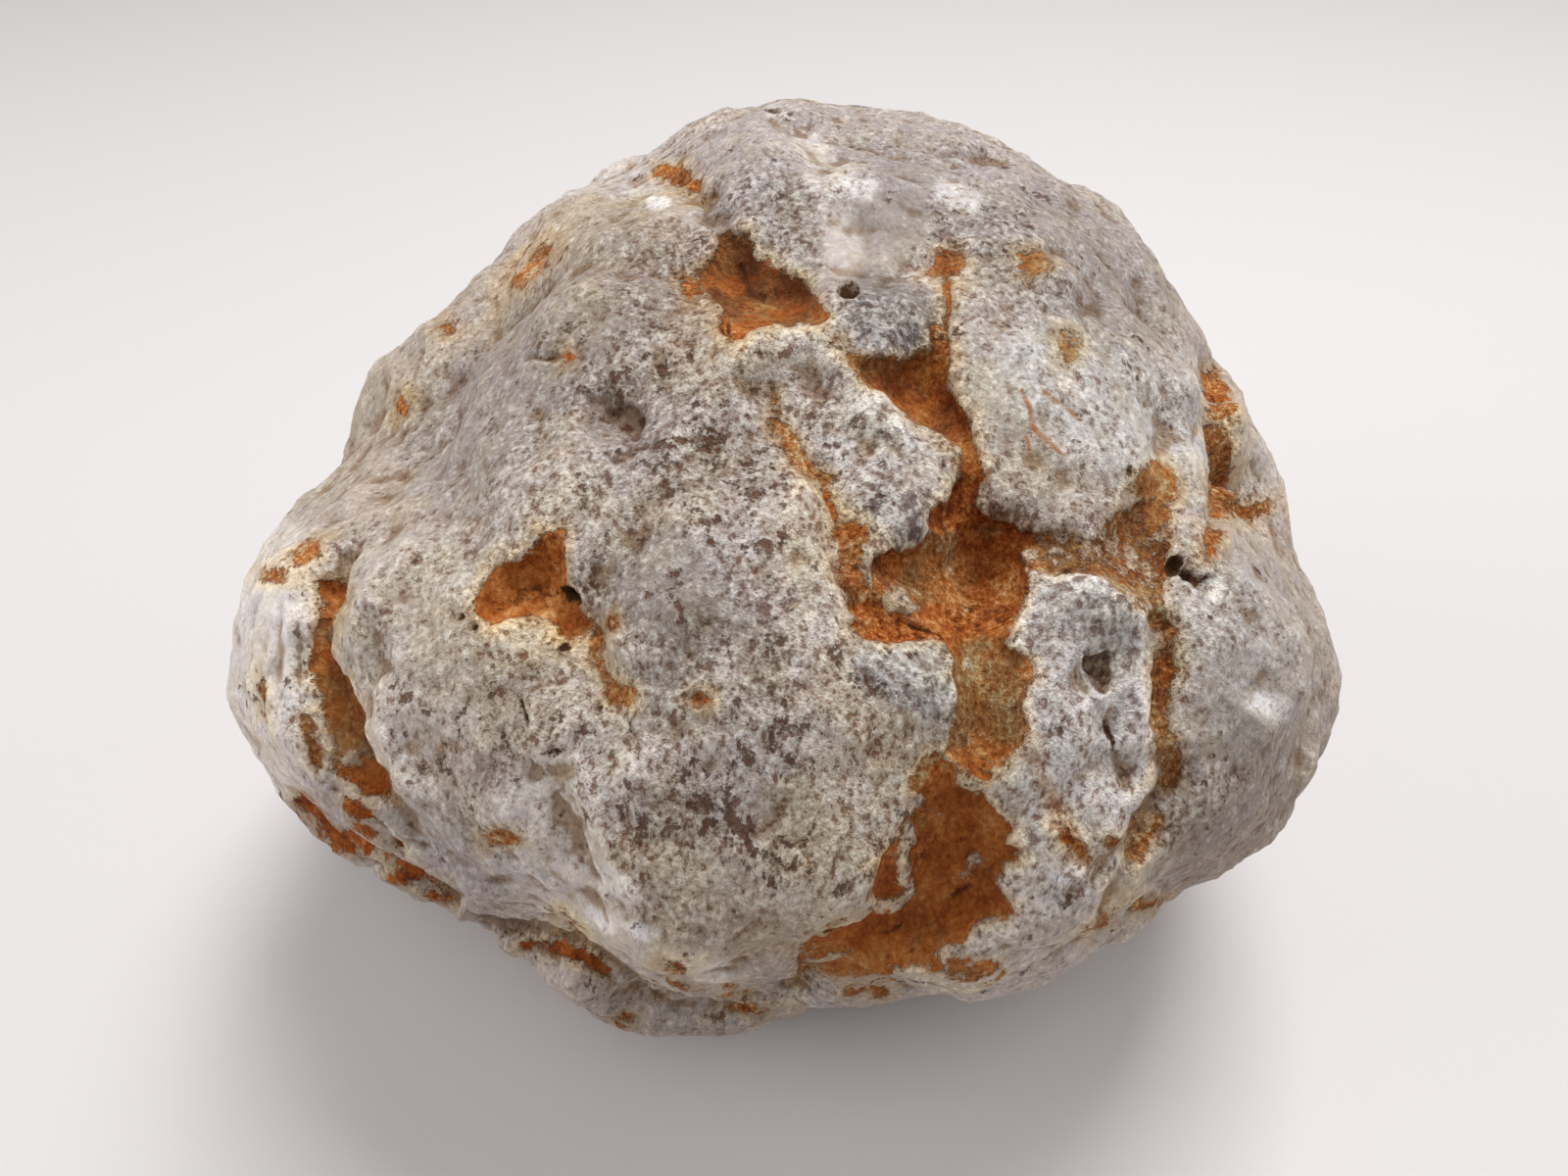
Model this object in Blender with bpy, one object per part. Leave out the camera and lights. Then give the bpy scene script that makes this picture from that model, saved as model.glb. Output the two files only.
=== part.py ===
"""Unopened geode: one whole nodule of pale chalcedony, about 156 x 150 x 120 mm.

A geode grows outwards from many small centres at once, so its rind is a heap of
rounded lobes that have run into each other, with creases where they meet.  The
stone is made in the same way.  Every direction out of its middle gets one reach:
the furthest of an egg-shaped body and of the lobes that bulge out of it.  Creases,
ledges and pits are then taken off that reach, and the underside is cut flat where
the stone sits.  The result is one closed skin with no hollow in it.

Places on the show face are written as they look from the show side: millimetres
across and up on a flat plan through the stone's middle, seen by an eye in front
of the stone and above it.  Places that this eye can't see are compass angles.
"""

import math

import bmesh
import bpy
import numpy as np
from mathutils import Quaternion, Vector, noise

MM = 0.001

# Size of the stone, in millimetres.
BODY_HALF = (71.5, 68.0, 55.5)      # the body under the lobes: half length, depth, height
MIDDLE_HEIGHT = 54.0                # from the flat spot up to the stone's middle

# The show side: where the eye of the plan stands.
SHOW_ELEVATION = math.radians(44.4)  # above the horizontal, in front of the stone (-Y)
SHOW_DISTANCE = 180.0                # mm from the stone's middle
SHOW_FADE = (62.0, 76.0)             # degrees off the eye's line where the plan stops counting

# How the skin is made.
GRID_CUTS = 21                      # cuts along each edge of the icosahedron
SHOW_CROWDING = 0.24                # share by which the grid is drawn towards the show side
LOBE_BLEND = 1.5                    # mm over which two lobes run into each other
KNOB_BLEND = 0.8                    # the same for the small knobs on them
RELIEF_HEIGHT = 0.55                # mm of fine waviness
RELIEF_WAVE = 7.5                   # mm from crest to crest
PLAN_ROUNDS = 8                     # times that places on the plan are worked out again

# Colour of the rind.
RIND_COLOUR = (0.33, 0.28, 0.24, 1.0)
RIND_ROUGHNESS = 0.75

# Outline of the stone seen from the show side, clockwise from the left, in mm.
RIM = [
    (-78.0, 10.7), (-70.0, 17.0), (-65.4, 25.0), (-64.7, 30.0), (-60.0, 37.8), (-54.0, 41.3),
    (-49.0, 44.7), (-43.0, 52.7), (-35.0, 60.2), (-27.6, 63.9), (-22.0, 65.3), (-13.3, 72.3),
    (-8.0, 74.0), (0.0, 75.7), (10.0, 73.5), (20.0, 72.4), (29.4, 70.8), (37.7, 65.7),
    (45.8, 61.4), (50.0, 60.0), (57.0, 51.0), (60.0, 44.7), (65.0, 37.8), (70.5, 29.8),
    (74.5, 20.0), (76.0, 10.0), (80.0, 3.9), (84.0, -7.3), (86.2, -16.4), (82.7, -24.5),
    (77.6, -35.4), (70.3, -44.0), (60.2, -47.2), (54.8, -51.6), (48.3, -55.9), (34.6, -62.8),
    (25.0, -63.0), (17.0, -62.5), (10.0, -64.0), (2.0, -65.1), (-8.0, -68.9), (-20.0, -68.5),
    (-30.0, -65.0), (-38.0, -59.0), (-46.0, -51.8), (-54.6, -49.1), (-62.4, -45.4),
    (-73.9, -35.9), (-80.2, -27.6), (-85.1, -18.4), (-85.5, -12.1), (-83.0, 0.8),
]
RIM_SECTORS = 90                    # sectors in which the stone is fitted to that outline
RIM_FITS = 4
RIM_SPREAD = 2                      # sectors over which a broad bulge is evened out

# Lobes of the show face: (across, up, footprint radius, height), in mm on the plan.
SHOW_LOBES = {
    "belly": (-9, -27, 33, 7.5),
    "belly_lip": (-13, -47, 20, 6.5),
    "left_cheek": (-52, -13, 22, 7.5),
    "left_cheek_top": (-57, 7, 17, 4.5),
    "left_apron": (-47, -31, 18, 5.5),
    "upper_left_ridge": (-45, 26, 22, 5.5),
    "upper_left_brow": (-31, 38, 18, 5.0),
    "plateau": (-14, 20, 21, 5.5),
    "plateau_top": (-2, 33, 11, 4.5),
    "plateau_step": (-3, 9, 13, 5.0),
    "grey_dome": (-18, 0, 12, 5.5),
    "far_left": (-79, -10, 13, 5.0),
    "far_left_low": (-76, -24, 11, 4.5),
    "far_left_high": (-75, 7, 10, 4.0),
    "low_left_ledge": (-68, -36, 10, 4.0),
    "low_left_ledge_end": (-52, -44, 10, 3.5),
    "low_right": (46, -42, 17, 5.5),
    "low_right_end": (30, -58, 12, 3.5),
    "middle_right": (48, -12, 11, 6.5),
    "middle_right_top": (44, -5, 8, 6.0),
    "middle_right_low": (43, -27, 11, 5.5),
    "right_cheek": (72, -14, 26, 8.0),
    "right_cheek_low": (68, -33, 15, 5.0),
    "upper_right": (48, 25, 21, 7.0),
    "upper_right_top": (42, 39, 16, 5.5),
    "upper_right_edge": (59, 35, 12, 4.5),
    "top": (17, 61, 21, 6.0),
    "top_right": (38, 55, 16, 5.0),
    "top_left": (-2, 66, 14, 5.0),
    "round_knob": (16.5, 43, 9.5, 8.0),
    "tongue": (14, 25, 10, 5.0),
    "tongue_tip": (22, 15, 7, 4.0),
    "small_knob": (16, 11, 6.5, 4.5),
    "bluish_knob": (17, -15, 9, 6.5),
    "bluish_knob_low": (17, -26, 9, 5.0),
    "right_rim_knob": (71, 23, 9, 4.5),
    "upper_left_rim": (-26, 54, 16, 6.0),
}
LOBE_ROUNDS = 4                     # times that each lobe is moved towards its place

# Lobes out of the eye's sight: (compass, elevation, footprint radius, height).
# The compass is in degrees from +X towards +Y, the elevation in degrees.
HIDDEN_LOBES = {
    "foot": (-107, -34, 24, 6.0),
    "foot_right": (-70, -42, 22, 5.0),
    "under_left": (-150, -36, 25, 6.5),
    "under_right": (-32, -40, 25, 6.0),
    "right_flank": (14, -22, 24, 6.5),
    "right_back": (40, 6, 26, 7.5),
    "back_right_top": (62, 40, 23, 6.5),
    "back": (88, 4, 31, 6.5),
    "back_low": (68, -30, 24, 6.5),
    "back_top": (112, 36, 22, 7.0),
    "back_left": (132, 2, 27, 7.5),
    "back_left_low": (112, -36, 23, 6.5),
    "left_back": (166, 18, 20, 6.5),
    "left_flank": (174, -20, 23, 7.0),
    "left_back_low": (150, -42, 20, 5.5),
    "right_low": (28, -48, 20, 5.5),
}

# Smaller growths in two sizes: (count, least and most footprint, least and most height,
# degrees off the eye's line from which they grow).  The show face has its own middle-sized
# lobes above, so only the small knobs grow there.
GROWTHS = {
    "lumps": (110, (8.5, 14.5), (1.4, 3.6), 66.0),
    "knobs": (260, (4.5, 9.0), (0.6, 2.1), 0.0),
}
GROWTH_SEED = 11

# Pans of the show face, where clay has settled: (depth, width of the bank, corners).
PANS = {
    "upper_pan": (2.6, 5.0, [(-9, 55), (-4, 51), (2, 48), (7, 43), (6, 41), (-2, 40), (-8, 39),
                             (-12, 44), (-11, 50)]),
    "knob_pan": (3.0, 4.0, [(8, 39), (13, 36), (20, 35.5), (25, 39), (26, 31), (29, 24),
                            (26, 21.5), (19, 26), (12, 33)]),
    "neck": (2.8, 3.5, [(26, 24), (30, 20), (31.5, 13), (37, 10), (30, 6), (22, 9), (26, 16)]),
    "centre_pan": (3.8, 5.0, [(14, 6), (22, 8), (30, 10), (37, 8), (37, 0), (34, -8), (38, -12),
                              (37, -24), (31, -30), (26, -26), (27, -18), (25, -9), (12, -8)]),
    "low_fan": (3.6, 6.0, [(20, -31), (28, -28), (33, -35), (36, -41), (33, -45), (35, -50),
                           (27, -55), (20, -59), (2, -57), (13, -49), (15, -42)]),
    "right_arm": (2.6, 3.5, [(34, 9), (47, 8), (52, 13), (59, 16), (60, 0), (56, -5), (50, 1),
                             (40, 3), (34, 2)]),
    "left_hollow": (3.4, 4.0, [(-35, 8), (-33, 1), (-29, -6), (-34, -8), (-42, -5), (-47, -5),
                               (-45, 2), (-38, 5)]),
}

# Creases of the show face: (half width, depth, points along the bottom).
CREASES = {
    "left_crevice": (4.5, 4.8, [(-69, 3), (-71.5, -5), (-71, -13), (-68.5, -22), (-63.5, -31)]),
    "low_left_crevice": (3.2, 3.0, [(-73, -34), (-66, -38.5), (-58, -43), (-52, -47)]),
    "under_belly": (4.5, 4.5, [(-46, -51), (-34, -54), (-28, -58), (-22, -63), (-13, -65.5),
                               (-3, -63.5), (3, -60)]),
    "belly_crack": (2.4, 2.2, [(-36, -30), (-32, -37), (-29, -42), (-27.5, -48)]),
    "hollow_tail": (2.2, 1.6, [(-29, -6), (-27.5, -12), (-26, -17)]),
    "right_groove": (3.0, 3.4, [(59, 3), (58, -8), (58.3, -20), (59, -30), (56, -38), (51, -42)]),
    "plateau_edge": (2.4, 1.8, [(-2, 29), (1, 23.5), (5, 17.5), (8, 12), (10, 4), (11.5, -5)]),
    "right_rim_groove": (2.8, 3.0, [(66, 35), (66.5, 26), (66.5, 16), (71, 10)]),
    "top_left_gap": (3.2, 2.4, [(-21, 66), (-14, 61), (-9, 55)]),
    "top_streak": (2.0, 1.4, [(24.5, 41), (24.5, 46), (26, 50)]),
    "pit_crack": (2.0, 2.0, [(49.5, -18), (50, -24), (52.5, -29.5)]),
    "plateau_recess": (3.6, 1.8, [(-28, 27), (-23, 24)]),
    "knob_foot": (2.6, 3.0, [(10, -8.3), (18, -8.3), (25, -9.5), (27, -16)]),
}

# Crests that stand up along the edges of the pans: (half width, height, points).
CRESTS = {
    "pan_crest": (4.5, 1.6, [(-7, 36.5), (0, 37.5), (6, 37.5), (12, 30.5), (18, 23.5), (23, 18)]),
    "upper_right_brow": (4.2, 1.6, [(33, 14.5), (40, 12), (47, 11.5)]),
    "middle_right_brow": (3.2, 1.2, [(38, -0.5), (45, 0), (52, -4)]),
    "left_cheek_brow": (4.0, 1.6, [(-65.5, 0), (-66.5, -8), (-65, -15), (-61.5, -22), (-59, -29)]),
    "belly_brow": (4.5, 1.4, [(-29, -50), (-24, -55), (-15, -60.5), (-5, -60), (3, -54),
                              (11, -47.5)]),
    "crack_lip": (2.6, 0.9, [(-32, -31), (-28.5, -37), (-25.5, -43)]),
}

# Pits of the show face: (across, up, radius, depth), in mm.
PITS = {
    "wide_pit": (48.0, -12.5, 3.8, 4.2),
    "shade_hole": (60.3, 3.3, 3.2, 2.4),
    "rim_recess": (64.0, 1.0, 3.2, 1.5),
}


def show_axes():
    """The plan's own directions: across, up, and from the middle towards the eye."""
    across = np.array([1.0, 0.0, 0.0])
    up = np.array([0.0, math.sin(SHOW_ELEVATION), math.cos(SHOW_ELEVATION)])
    towards_eye = np.array([0.0, -math.cos(SHOW_ELEVATION), math.sin(SHOW_ELEVATION)])
    return across, up, towards_eye


ACROSS, UP, TOWARDS_EYE = show_axes()
EYE = TOWARDS_EYE * SHOW_DISTANCE


def plan_of(points):
    """Where points of the stone appear on the plan, in mm across and up."""
    nearness = SHOW_DISTANCE / (SHOW_DISTANCE - points @ TOWARDS_EYE)
    return np.stack([points @ ACROSS * nearness, points @ UP * nearness], axis=1)


def smooth_step(low, high, value):
    """0 below low, 1 above high, and an easy curve between them."""
    part = np.clip((value - low) / (high - low), 0.0, 1.0)
    return part * part * (3.0 - 2.0 * part)


def smooth_max(first, second, blend):
    """The larger of two reaches, rounded off where they are nearly the same."""
    mix = np.clip(0.5 + 0.5 * (first - second) / blend, 0.0, 1.0)
    return second + (first - second) * mix + blend * mix * (1.0 - mix)


def body_reach(directions):
    """Reach of the egg-shaped body along each direction."""
    return 1.0 / np.sqrt(((directions / np.array(BODY_HALF)) ** 2).sum(axis=1))


def direction_on_show_face(across, up):
    """Direction from the middle to the body's point seen at a place on the plan."""
    half = np.array(BODY_HALF)
    start = EYE / half
    ray = (ACROSS * across + UP * up - EYE) / half
    closest = -(start @ ray) / (ray @ ray)
    spare = closest ** 2 - (start @ start - 1.0) / (ray @ ray)
    travelled = closest - math.sqrt(max(spare, 0.0))
    point = (start + ray * travelled) * half
    return point / np.linalg.norm(point)


def direction_by_compass(compass, elevation):
    """Direction from the middle for a compass angle and an elevation in degrees."""
    turn = math.radians(compass)
    rise = math.radians(elevation)
    return np.array([math.cos(turn) * math.cos(rise), math.sin(turn) * math.cos(rise),
                     math.sin(rise)])


def lobe_reach(directions, towards, ground, footprint, height):
    """Reach of a ball that bulges out of ground level by a height over a footprint."""
    radius = 1.0 / (2.0 * height / footprint ** 2 + 1.0 / ground)
    seat = ground + height - radius
    along = directions @ towards * seat
    inside = radius ** 2 - seat ** 2 + along ** 2
    hit = (inside > 0.0) & (along > 0.0)
    return np.where(hit, along + np.sqrt(np.maximum(inside, 0.0)), 0.0)


def all_lobes(show_directions):
    """Every large lobe as (direction, footprint, height)."""
    lobes = [(towards, footprint, height)
             for towards, (_, _, footprint, height) in zip(show_directions, SHOW_LOBES.values())]
    lobes += [(direction_by_compass(compass, elevation), footprint, height)
              for compass, elevation, footprint, height in HIDDEN_LOBES.values()]
    return lobes


def lobed_reach(directions, lobes):
    """Reach of the body with its large lobes."""
    reach = body_reach(directions)
    for towards, footprint, height in lobes:
        ground = body_reach(towards[None, :])[0]
        ball = lobe_reach(directions, towards, ground, footprint, height)
        reach = smooth_max(reach, ball, LOBE_BLEND)
    return reach


def settled_lobes(stretch):
    """The large lobes, those of the show face moved until each is seen at its place."""
    places = np.array([(across, up) for across, up, _, _ in SHOW_LOBES.values()], dtype=float)
    aims = places.copy()
    for _ in range(LOBE_ROUNDS):
        directions = np.array([direction_on_show_face(across, up) for across, up in aims])
        lobes = all_lobes(directions)
        reach = lobed_reach(directions, lobes) * girth(directions, stretch)
        aims += 0.8 * (places - plan_of(directions * reach[:, None]))
    return lobes


def scattered_directions(count, shake):
    """Directions spread evenly all round and then shaken out of their pattern."""
    turn_step = math.pi * (3.0 - math.sqrt(5.0))
    order = np.arange(count)
    height = 1.0 - (2.0 * order + 1.0) / count
    width = np.sqrt(1.0 - height ** 2)
    even = np.stack([np.cos(order * turn_step) * width, np.sin(order * turn_step) * width,
                     height], axis=1)
    shaken = even + shake.normal(0.0, 0.8 / math.sqrt(count), even.shape)
    return shaken / np.linalg.norm(shaken, axis=1)[:, None]


def grown_reach(directions, lobes):
    """Reach with the lumps and knobs on top of the large lobes."""
    reach = lobed_reach(directions, lobes)
    shake = np.random.default_rng(GROWTH_SEED)
    for count, footprints, heights, from_angle in GROWTHS.values():
        centres = scattered_directions(count, shake)
        grounds = lobed_reach(centres, lobes)
        off_line, _ = sight(centres)
        for towards, ground, angle in zip(centres, grounds, off_line):
            footprint = shake.uniform(*footprints)
            height = shake.uniform(*heights)
            if angle >= from_angle:
                ball = lobe_reach(directions, towards, ground, footprint, height)
                reach = smooth_max(reach, ball, KNOB_BLEND)
    return reach


def fine_relief(directions, reach):
    """A slow waviness of the rind, in mm, read from solid noise."""
    points = directions * reach[:, None] / RELIEF_WAVE
    return np.array([noise.fractal(Vector(point), 0.8, 2.1, 3) for point in points]) * RELIEF_HEIGHT


def distance_to_line(places, line):
    """Distance from each place on the plan to a chain of straight stretches."""
    nearest = np.full(len(places), np.inf)
    for start, end in zip(line[:-1], line[1:]):
        start = np.array(start, dtype=float)
        run = np.array(end, dtype=float) - start
        share = np.clip((places - start) @ run / (run @ run), 0.0, 1.0)
        gap = places - (start + share[:, None] * run)
        nearest = np.minimum(nearest, np.hypot(gap[:, 0], gap[:, 1]))
    return nearest


def hollow(distance, half_width, depth):
    """Depth of a round-bottomed hollow at a distance from its middle."""
    return depth * np.clip(1.0 - (distance / half_width) ** 2, 0.0, 1.0) ** 2


def depth_inside(places, corners):
    """How far each place lies inside a closed outline on the plan; 0 outside it."""
    inside = np.zeros(len(places), dtype=bool)
    for (start_across, start_up), (end_across, end_up) in zip(corners, corners[1:] + corners[:1]):
        spans = (start_up > places[:, 1]) != (end_up > places[:, 1])
        if start_up == end_up:
            continue
        share = (places[:, 1] - start_up) / (end_up - start_up)
        crossing = start_across + share * (end_across - start_across)
        inside ^= spans & (places[:, 0] < crossing)
    return np.where(inside, distance_to_line(places, corners + corners[:1]), 0.0)


def carving(places):
    """Depth that the pans, creases and pits take off the show face, less its crests, in mm."""
    depth = np.zeros(len(places))
    for deepest, bank, corners in PANS.values():
        depth = np.maximum(depth, deepest * smooth_step(0.0, bank, depth_inside(places, corners)))
    for half_width, deepest, line in CREASES.values():
        depth = np.maximum(depth, hollow(distance_to_line(places, line), half_width, deepest))
    for half_width, height, line in CRESTS.values():
        crest = hollow(distance_to_line(places, line), half_width, height)
        depth -= crest * (1.0 - smooth_step(0.0, 1.5, depth))
    for across, up, radius, deepest in PITS.values():
        gap = np.hypot(places[:, 0] - across, places[:, 1] - up)
        depth += hollow(gap, radius, deepest)
    return depth


def sight(directions):
    """Angle of each direction off the eye's line, and its bearing round that line."""
    off_line = np.degrees(np.arccos(np.clip(directions @ TOWARDS_EYE, -1.0, 1.0)))
    bearing = np.arctan2(directions @ UP, directions @ ACROSS)
    return off_line, bearing


def rim_targets():
    """Distance of the outline from the plan's middle at the middle of each sector."""
    rim = np.array(RIM)
    bearing = np.arctan2(rim[:, 1], rim[:, 0])
    order = np.argsort(bearing)
    middles = (np.arange(RIM_SECTORS) + 0.5) / RIM_SECTORS * 2.0 * math.pi - math.pi
    return np.interp(middles, bearing[order], np.hypot(rim[:, 0], rim[:, 1])[order],
                     period=2.0 * math.pi)


def rim_sector(bearing):
    """Place of a bearing along the ring of sectors, as a number from 0."""
    return (bearing + math.pi) / (2.0 * math.pi) * RIM_SECTORS


def evened(stretch):
    """The stretch of the sectors with its narrow ups and downs taken out."""
    reach = range(-RIM_SPREAD, RIM_SPREAD + 1)
    return sum(np.roll(stretch, step) for step in reach) / len(reach)


def girth(directions, stretch):
    """How much each direction is stretched so that the rim follows the outline."""
    off_line, bearing = sight(directions)
    middles = np.arange(RIM_SECTORS) + 0.5
    broad = evened(stretch)
    broad_here = np.interp(rim_sector(bearing), middles, broad, period=RIM_SECTORS)
    narrow_here = np.interp(rim_sector(bearing), middles, stretch / broad, period=RIM_SECTORS)
    broad_counts = smooth_step(18.0, 60.0, off_line) * (1.0 - smooth_step(80.0, 165.0, off_line))
    narrow_counts = smooth_step(45.0, 62.0, off_line) * (1.0 - smooth_step(72.0, 100.0, off_line))
    return (1.0 + (broad_here - 1.0) * broad_counts) * (1.0 + (narrow_here - 1.0) * narrow_counts)


def carved_reach(directions, uncarved, stretch):
    """The finished reach: stretched to the outline, with the show face carved."""
    reach = uncarved * girth(directions, stretch)
    off_line, _ = sight(directions)
    seen = 1.0 - smooth_step(*SHOW_FADE, off_line)
    carved = reach
    for _ in range(PLAN_ROUNDS):
        next_carved = reach - carving(plan_of(directions * carved[:, None])) * seen
        carved = 0.5 * (carved + next_carved)
    return carved


def uncarved_reach(directions, stretch):
    """Reach of the lobes, knobs and fine relief, before stretching and carving."""
    reach = grown_reach(directions, settled_lobes(stretch))
    return reach + fine_relief(directions, reach)


def fitted_stretch(directions):
    """Stretch of each sector that brings the rim to the outline."""
    wanted = np.sin(np.arctan(rim_targets() / SHOW_DISTANCE))
    stretch = np.ones(RIM_SECTORS)
    _, bearing = sight(directions)
    sector = rim_sector(bearing).astype(int) % RIM_SECTORS
    for _ in range(RIM_FITS):
        uncarved = uncarved_reach(directions, stretch)
        places = plan_of(directions * carved_reach(directions, uncarved, stretch)[:, None])
        spans = np.hypot(places[:, 0], places[:, 1])
        widest = np.array([spans[sector == index].max() for index in range(RIM_SECTORS)])
        stretch *= wanted / np.sin(np.arctan(widest / SHOW_DISTANCE))
        stretch = 0.7 * stretch + 0.15 * (np.roll(stretch, 1) + np.roll(stretch, -1))
    return stretch


def even_sphere():
    """A unit ball of triangles, cut up from an icosahedron and finer on the show side."""
    ball = bmesh.new()
    bmesh.ops.create_icosphere(ball, subdivisions=1, radius=1.0)
    bmesh.ops.subdivide_edges(ball, edges=ball.edges[:], cuts=GRID_CUTS, use_grid_fill=True)
    middle_line = Vector(TOWARDS_EYE)
    for vert in ball.verts:
        vert.co.normalize()
        off_line = vert.co.angle(middle_line)
        axis = vert.co.cross(middle_line)
        if axis.length > 1e-6:
            drawn = SHOW_CROWDING * math.sin(off_line)
            vert.co.rotate(Quaternion(axis, drawn))
        vert.co.normalize()
    return ball


def add_geode(material):
    """The stone, in one closed skin, standing on its flat spot with its box centred."""
    skin = even_sphere()
    directions = np.array([vert.co for vert in skin.verts], dtype=float)
    directions /= np.linalg.norm(directions, axis=1)[:, None]
    stretch = fitted_stretch(directions)
    reach = carved_reach(directions, uncarved_reach(directions, stretch), stretch)
    down = np.maximum(-directions[:, 2], 1e-6)
    reach = np.minimum(reach, MIDDLE_HEIGHT / down)
    points = directions * reach[:, None]
    centre = (points.min(axis=0) + points.max(axis=0)) / 2.0
    points -= np.array([centre[0], centre[1], -MIDDLE_HEIGHT])
    print("middle of the stone from the box's bottom centre, mm:",
          [round(float(value), 2) for value in (-centre[0], -centre[1], MIDDLE_HEIGHT)])
    print("size, mm:", [round(float(value), 1) for value in np.ptp(points, axis=0)])
    for vert, point in zip(skin.verts, points):
        vert.co = Vector(point) * MM
    mesh = bpy.data.meshes.new("geode")
    skin.to_mesh(mesh)
    skin.free()
    mesh.materials.append(material)
    mesh.shade_smooth()
    stone = bpy.data.objects.new("geode", mesh)
    bpy.context.scene.collection.objects.link(stone)
    return stone


def rind_material():
    """Pale, slightly lavender-grey chalcedony, dull."""
    material = bpy.data.materials.new("rind")
    material.use_nodes = True
    shader = material.node_tree.nodes["Principled BSDF"]
    shader.inputs["Base Color"].default_value = RIND_COLOUR
    shader.inputs["Roughness"].default_value = RIND_ROUGHNESS
    shader.inputs["Metallic"].default_value = 0.0
    return material


def main():
    """Clear the scene and make the stone."""
    for old in list(bpy.data.objects):
        bpy.data.objects.remove(old, do_unlink=True)
    add_geode(rind_material())


main()
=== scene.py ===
# %% [markdown]
# # An unopened geode
# A geode is a hollow nodule that grows inside soft rock or clay.  Whole, it is a plain,
# lumpy stone: a rind of chalcedony with a crust of tiny quartz grains, and the clay it
# was dug out of still stuck in its hollows.  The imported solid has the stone's size and
# all of its lumps.  This notebook gives it what is finer than that: crisp banks along
# the clay, pits and cracks, a grainy crust, and the colours of crust and clay.

import math

import bpy
import numpy as np
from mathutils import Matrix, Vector, noise


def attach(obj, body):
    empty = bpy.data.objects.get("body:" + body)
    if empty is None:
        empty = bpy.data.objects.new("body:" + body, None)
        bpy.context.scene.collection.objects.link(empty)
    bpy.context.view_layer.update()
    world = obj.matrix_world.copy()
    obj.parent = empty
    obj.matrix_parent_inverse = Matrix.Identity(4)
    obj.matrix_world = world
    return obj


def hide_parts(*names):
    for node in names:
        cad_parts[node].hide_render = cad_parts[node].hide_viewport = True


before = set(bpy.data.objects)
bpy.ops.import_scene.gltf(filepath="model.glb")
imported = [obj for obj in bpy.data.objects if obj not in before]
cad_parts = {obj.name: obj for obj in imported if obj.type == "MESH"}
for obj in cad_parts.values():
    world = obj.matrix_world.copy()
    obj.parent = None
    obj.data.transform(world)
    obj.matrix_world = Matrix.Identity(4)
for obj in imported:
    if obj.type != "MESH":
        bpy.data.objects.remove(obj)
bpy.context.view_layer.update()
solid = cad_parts["geode"]
MM = 0.001  # a millimetre, in metres

# %% [markdown]
# ## Where the stone is looked at from
# Most of what makes this stone itself is on the face that looks up and forward.  Its
# marks are placed on a flat plan through the stone's middle, in millimetres across and
# up, as an eye in front of the stone and above it sees them.  The camera stands at that
# same eye.

# %% The plan and its eye
MIDDLE = np.array([0.47, -4.66, 54.0])  # the stone's middle in the frame, in mm
SHOW_ELEVATION = math.radians(44.4)
SHOW_DISTANCE = 180.0

ACROSS = np.array([1.0, 0.0, 0.0])
UP = np.array([0.0, math.sin(SHOW_ELEVATION), math.cos(SHOW_ELEVATION)])
TOWARDS_EYE = np.array([0.0, -math.cos(SHOW_ELEVATION), math.sin(SHOW_ELEVATION)])


def plan_of(points):
    """Where points in mm, counted from the stone's middle, appear on the plan."""
    nearness = SHOW_DISTANCE / (SHOW_DISTANCE - points @ TOWARDS_EYE)
    return np.stack([points @ ACROSS * nearness, points @ UP * nearness], axis=1)


def smooth_step(low, high, value):
    """0 below low, 1 above high, and an easy curve between them."""
    part = np.clip((value - low) / (high - low), 0.0, 1.0)
    return part * part * (3.0 - 2.0 * part)


# %% Camera
LENS = 27.0
SENSOR = 36.0

bpy.ops.object.camera_add(location=Vector((MIDDLE + TOWARDS_EYE * SHOW_DISTANCE) * MM))
camera = bpy.context.active_object
camera.name = "camera"
camera.rotation_euler = (math.pi / 2.0 - SHOW_ELEVATION, 0.0, 0.0)
camera.data.lens = LENS
camera.data.sensor_width = SENSOR
camera.data.clip_start = 0.01
bpy.context.scene.camera = camera
print("camera at", [round(value, 3) for value in camera.location])

# %% [markdown]
# ## Floor and light
# The floor is a plain pale board.  The light is soft and comes from above and behind, as
# from a bright ceiling, so the lumps are told apart by gentle shading and the shadow
# spreads out under the stone's front.

# %% Floor
FLOOR_COLOUR = (0.745, 0.715, 0.715, 1.0)
FLOOR_SIZE = 6.0
FLOOR_ROUGHNESS = 0.7


def plain_material(name, colour, roughness):
    """A material of one colour, for what isn't part of the object."""
    material = bpy.data.materials.new(name)
    material.use_nodes = True
    shader = material.node_tree.nodes["Principled BSDF"]
    shader.inputs["Base Color"].default_value = colour
    shader.inputs["Roughness"].default_value = roughness
    return material


bpy.ops.mesh.primitive_plane_add(size=FLOOR_SIZE)
floor = bpy.context.active_object
floor.name = "floor"
floor.data.materials.append(plain_material("pale_board", FLOOR_COLOUR, FLOOR_ROUGHNESS))
print("floor:", FLOOR_SIZE, "m wide")

# %% Lamps and sky
SKY_COLOUR = (1.0, 0.985, 0.98, 1.0)
SKY_STRENGTH = 0.20
LAMPS = {  # name: (place in metres, width in metres, watts)
    "ceiling": ((0.14, 0.22, 0.86), 0.38, 5.8),
    "left_window": ((-0.80, -0.05, 0.34), 0.60, 2.8),
    "right_window": ((0.80, 0.15, 0.34), 0.60, 1.5),
    "front_fill": ((0.00, -0.42, 0.95), 0.50, 2.0),
}


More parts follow.
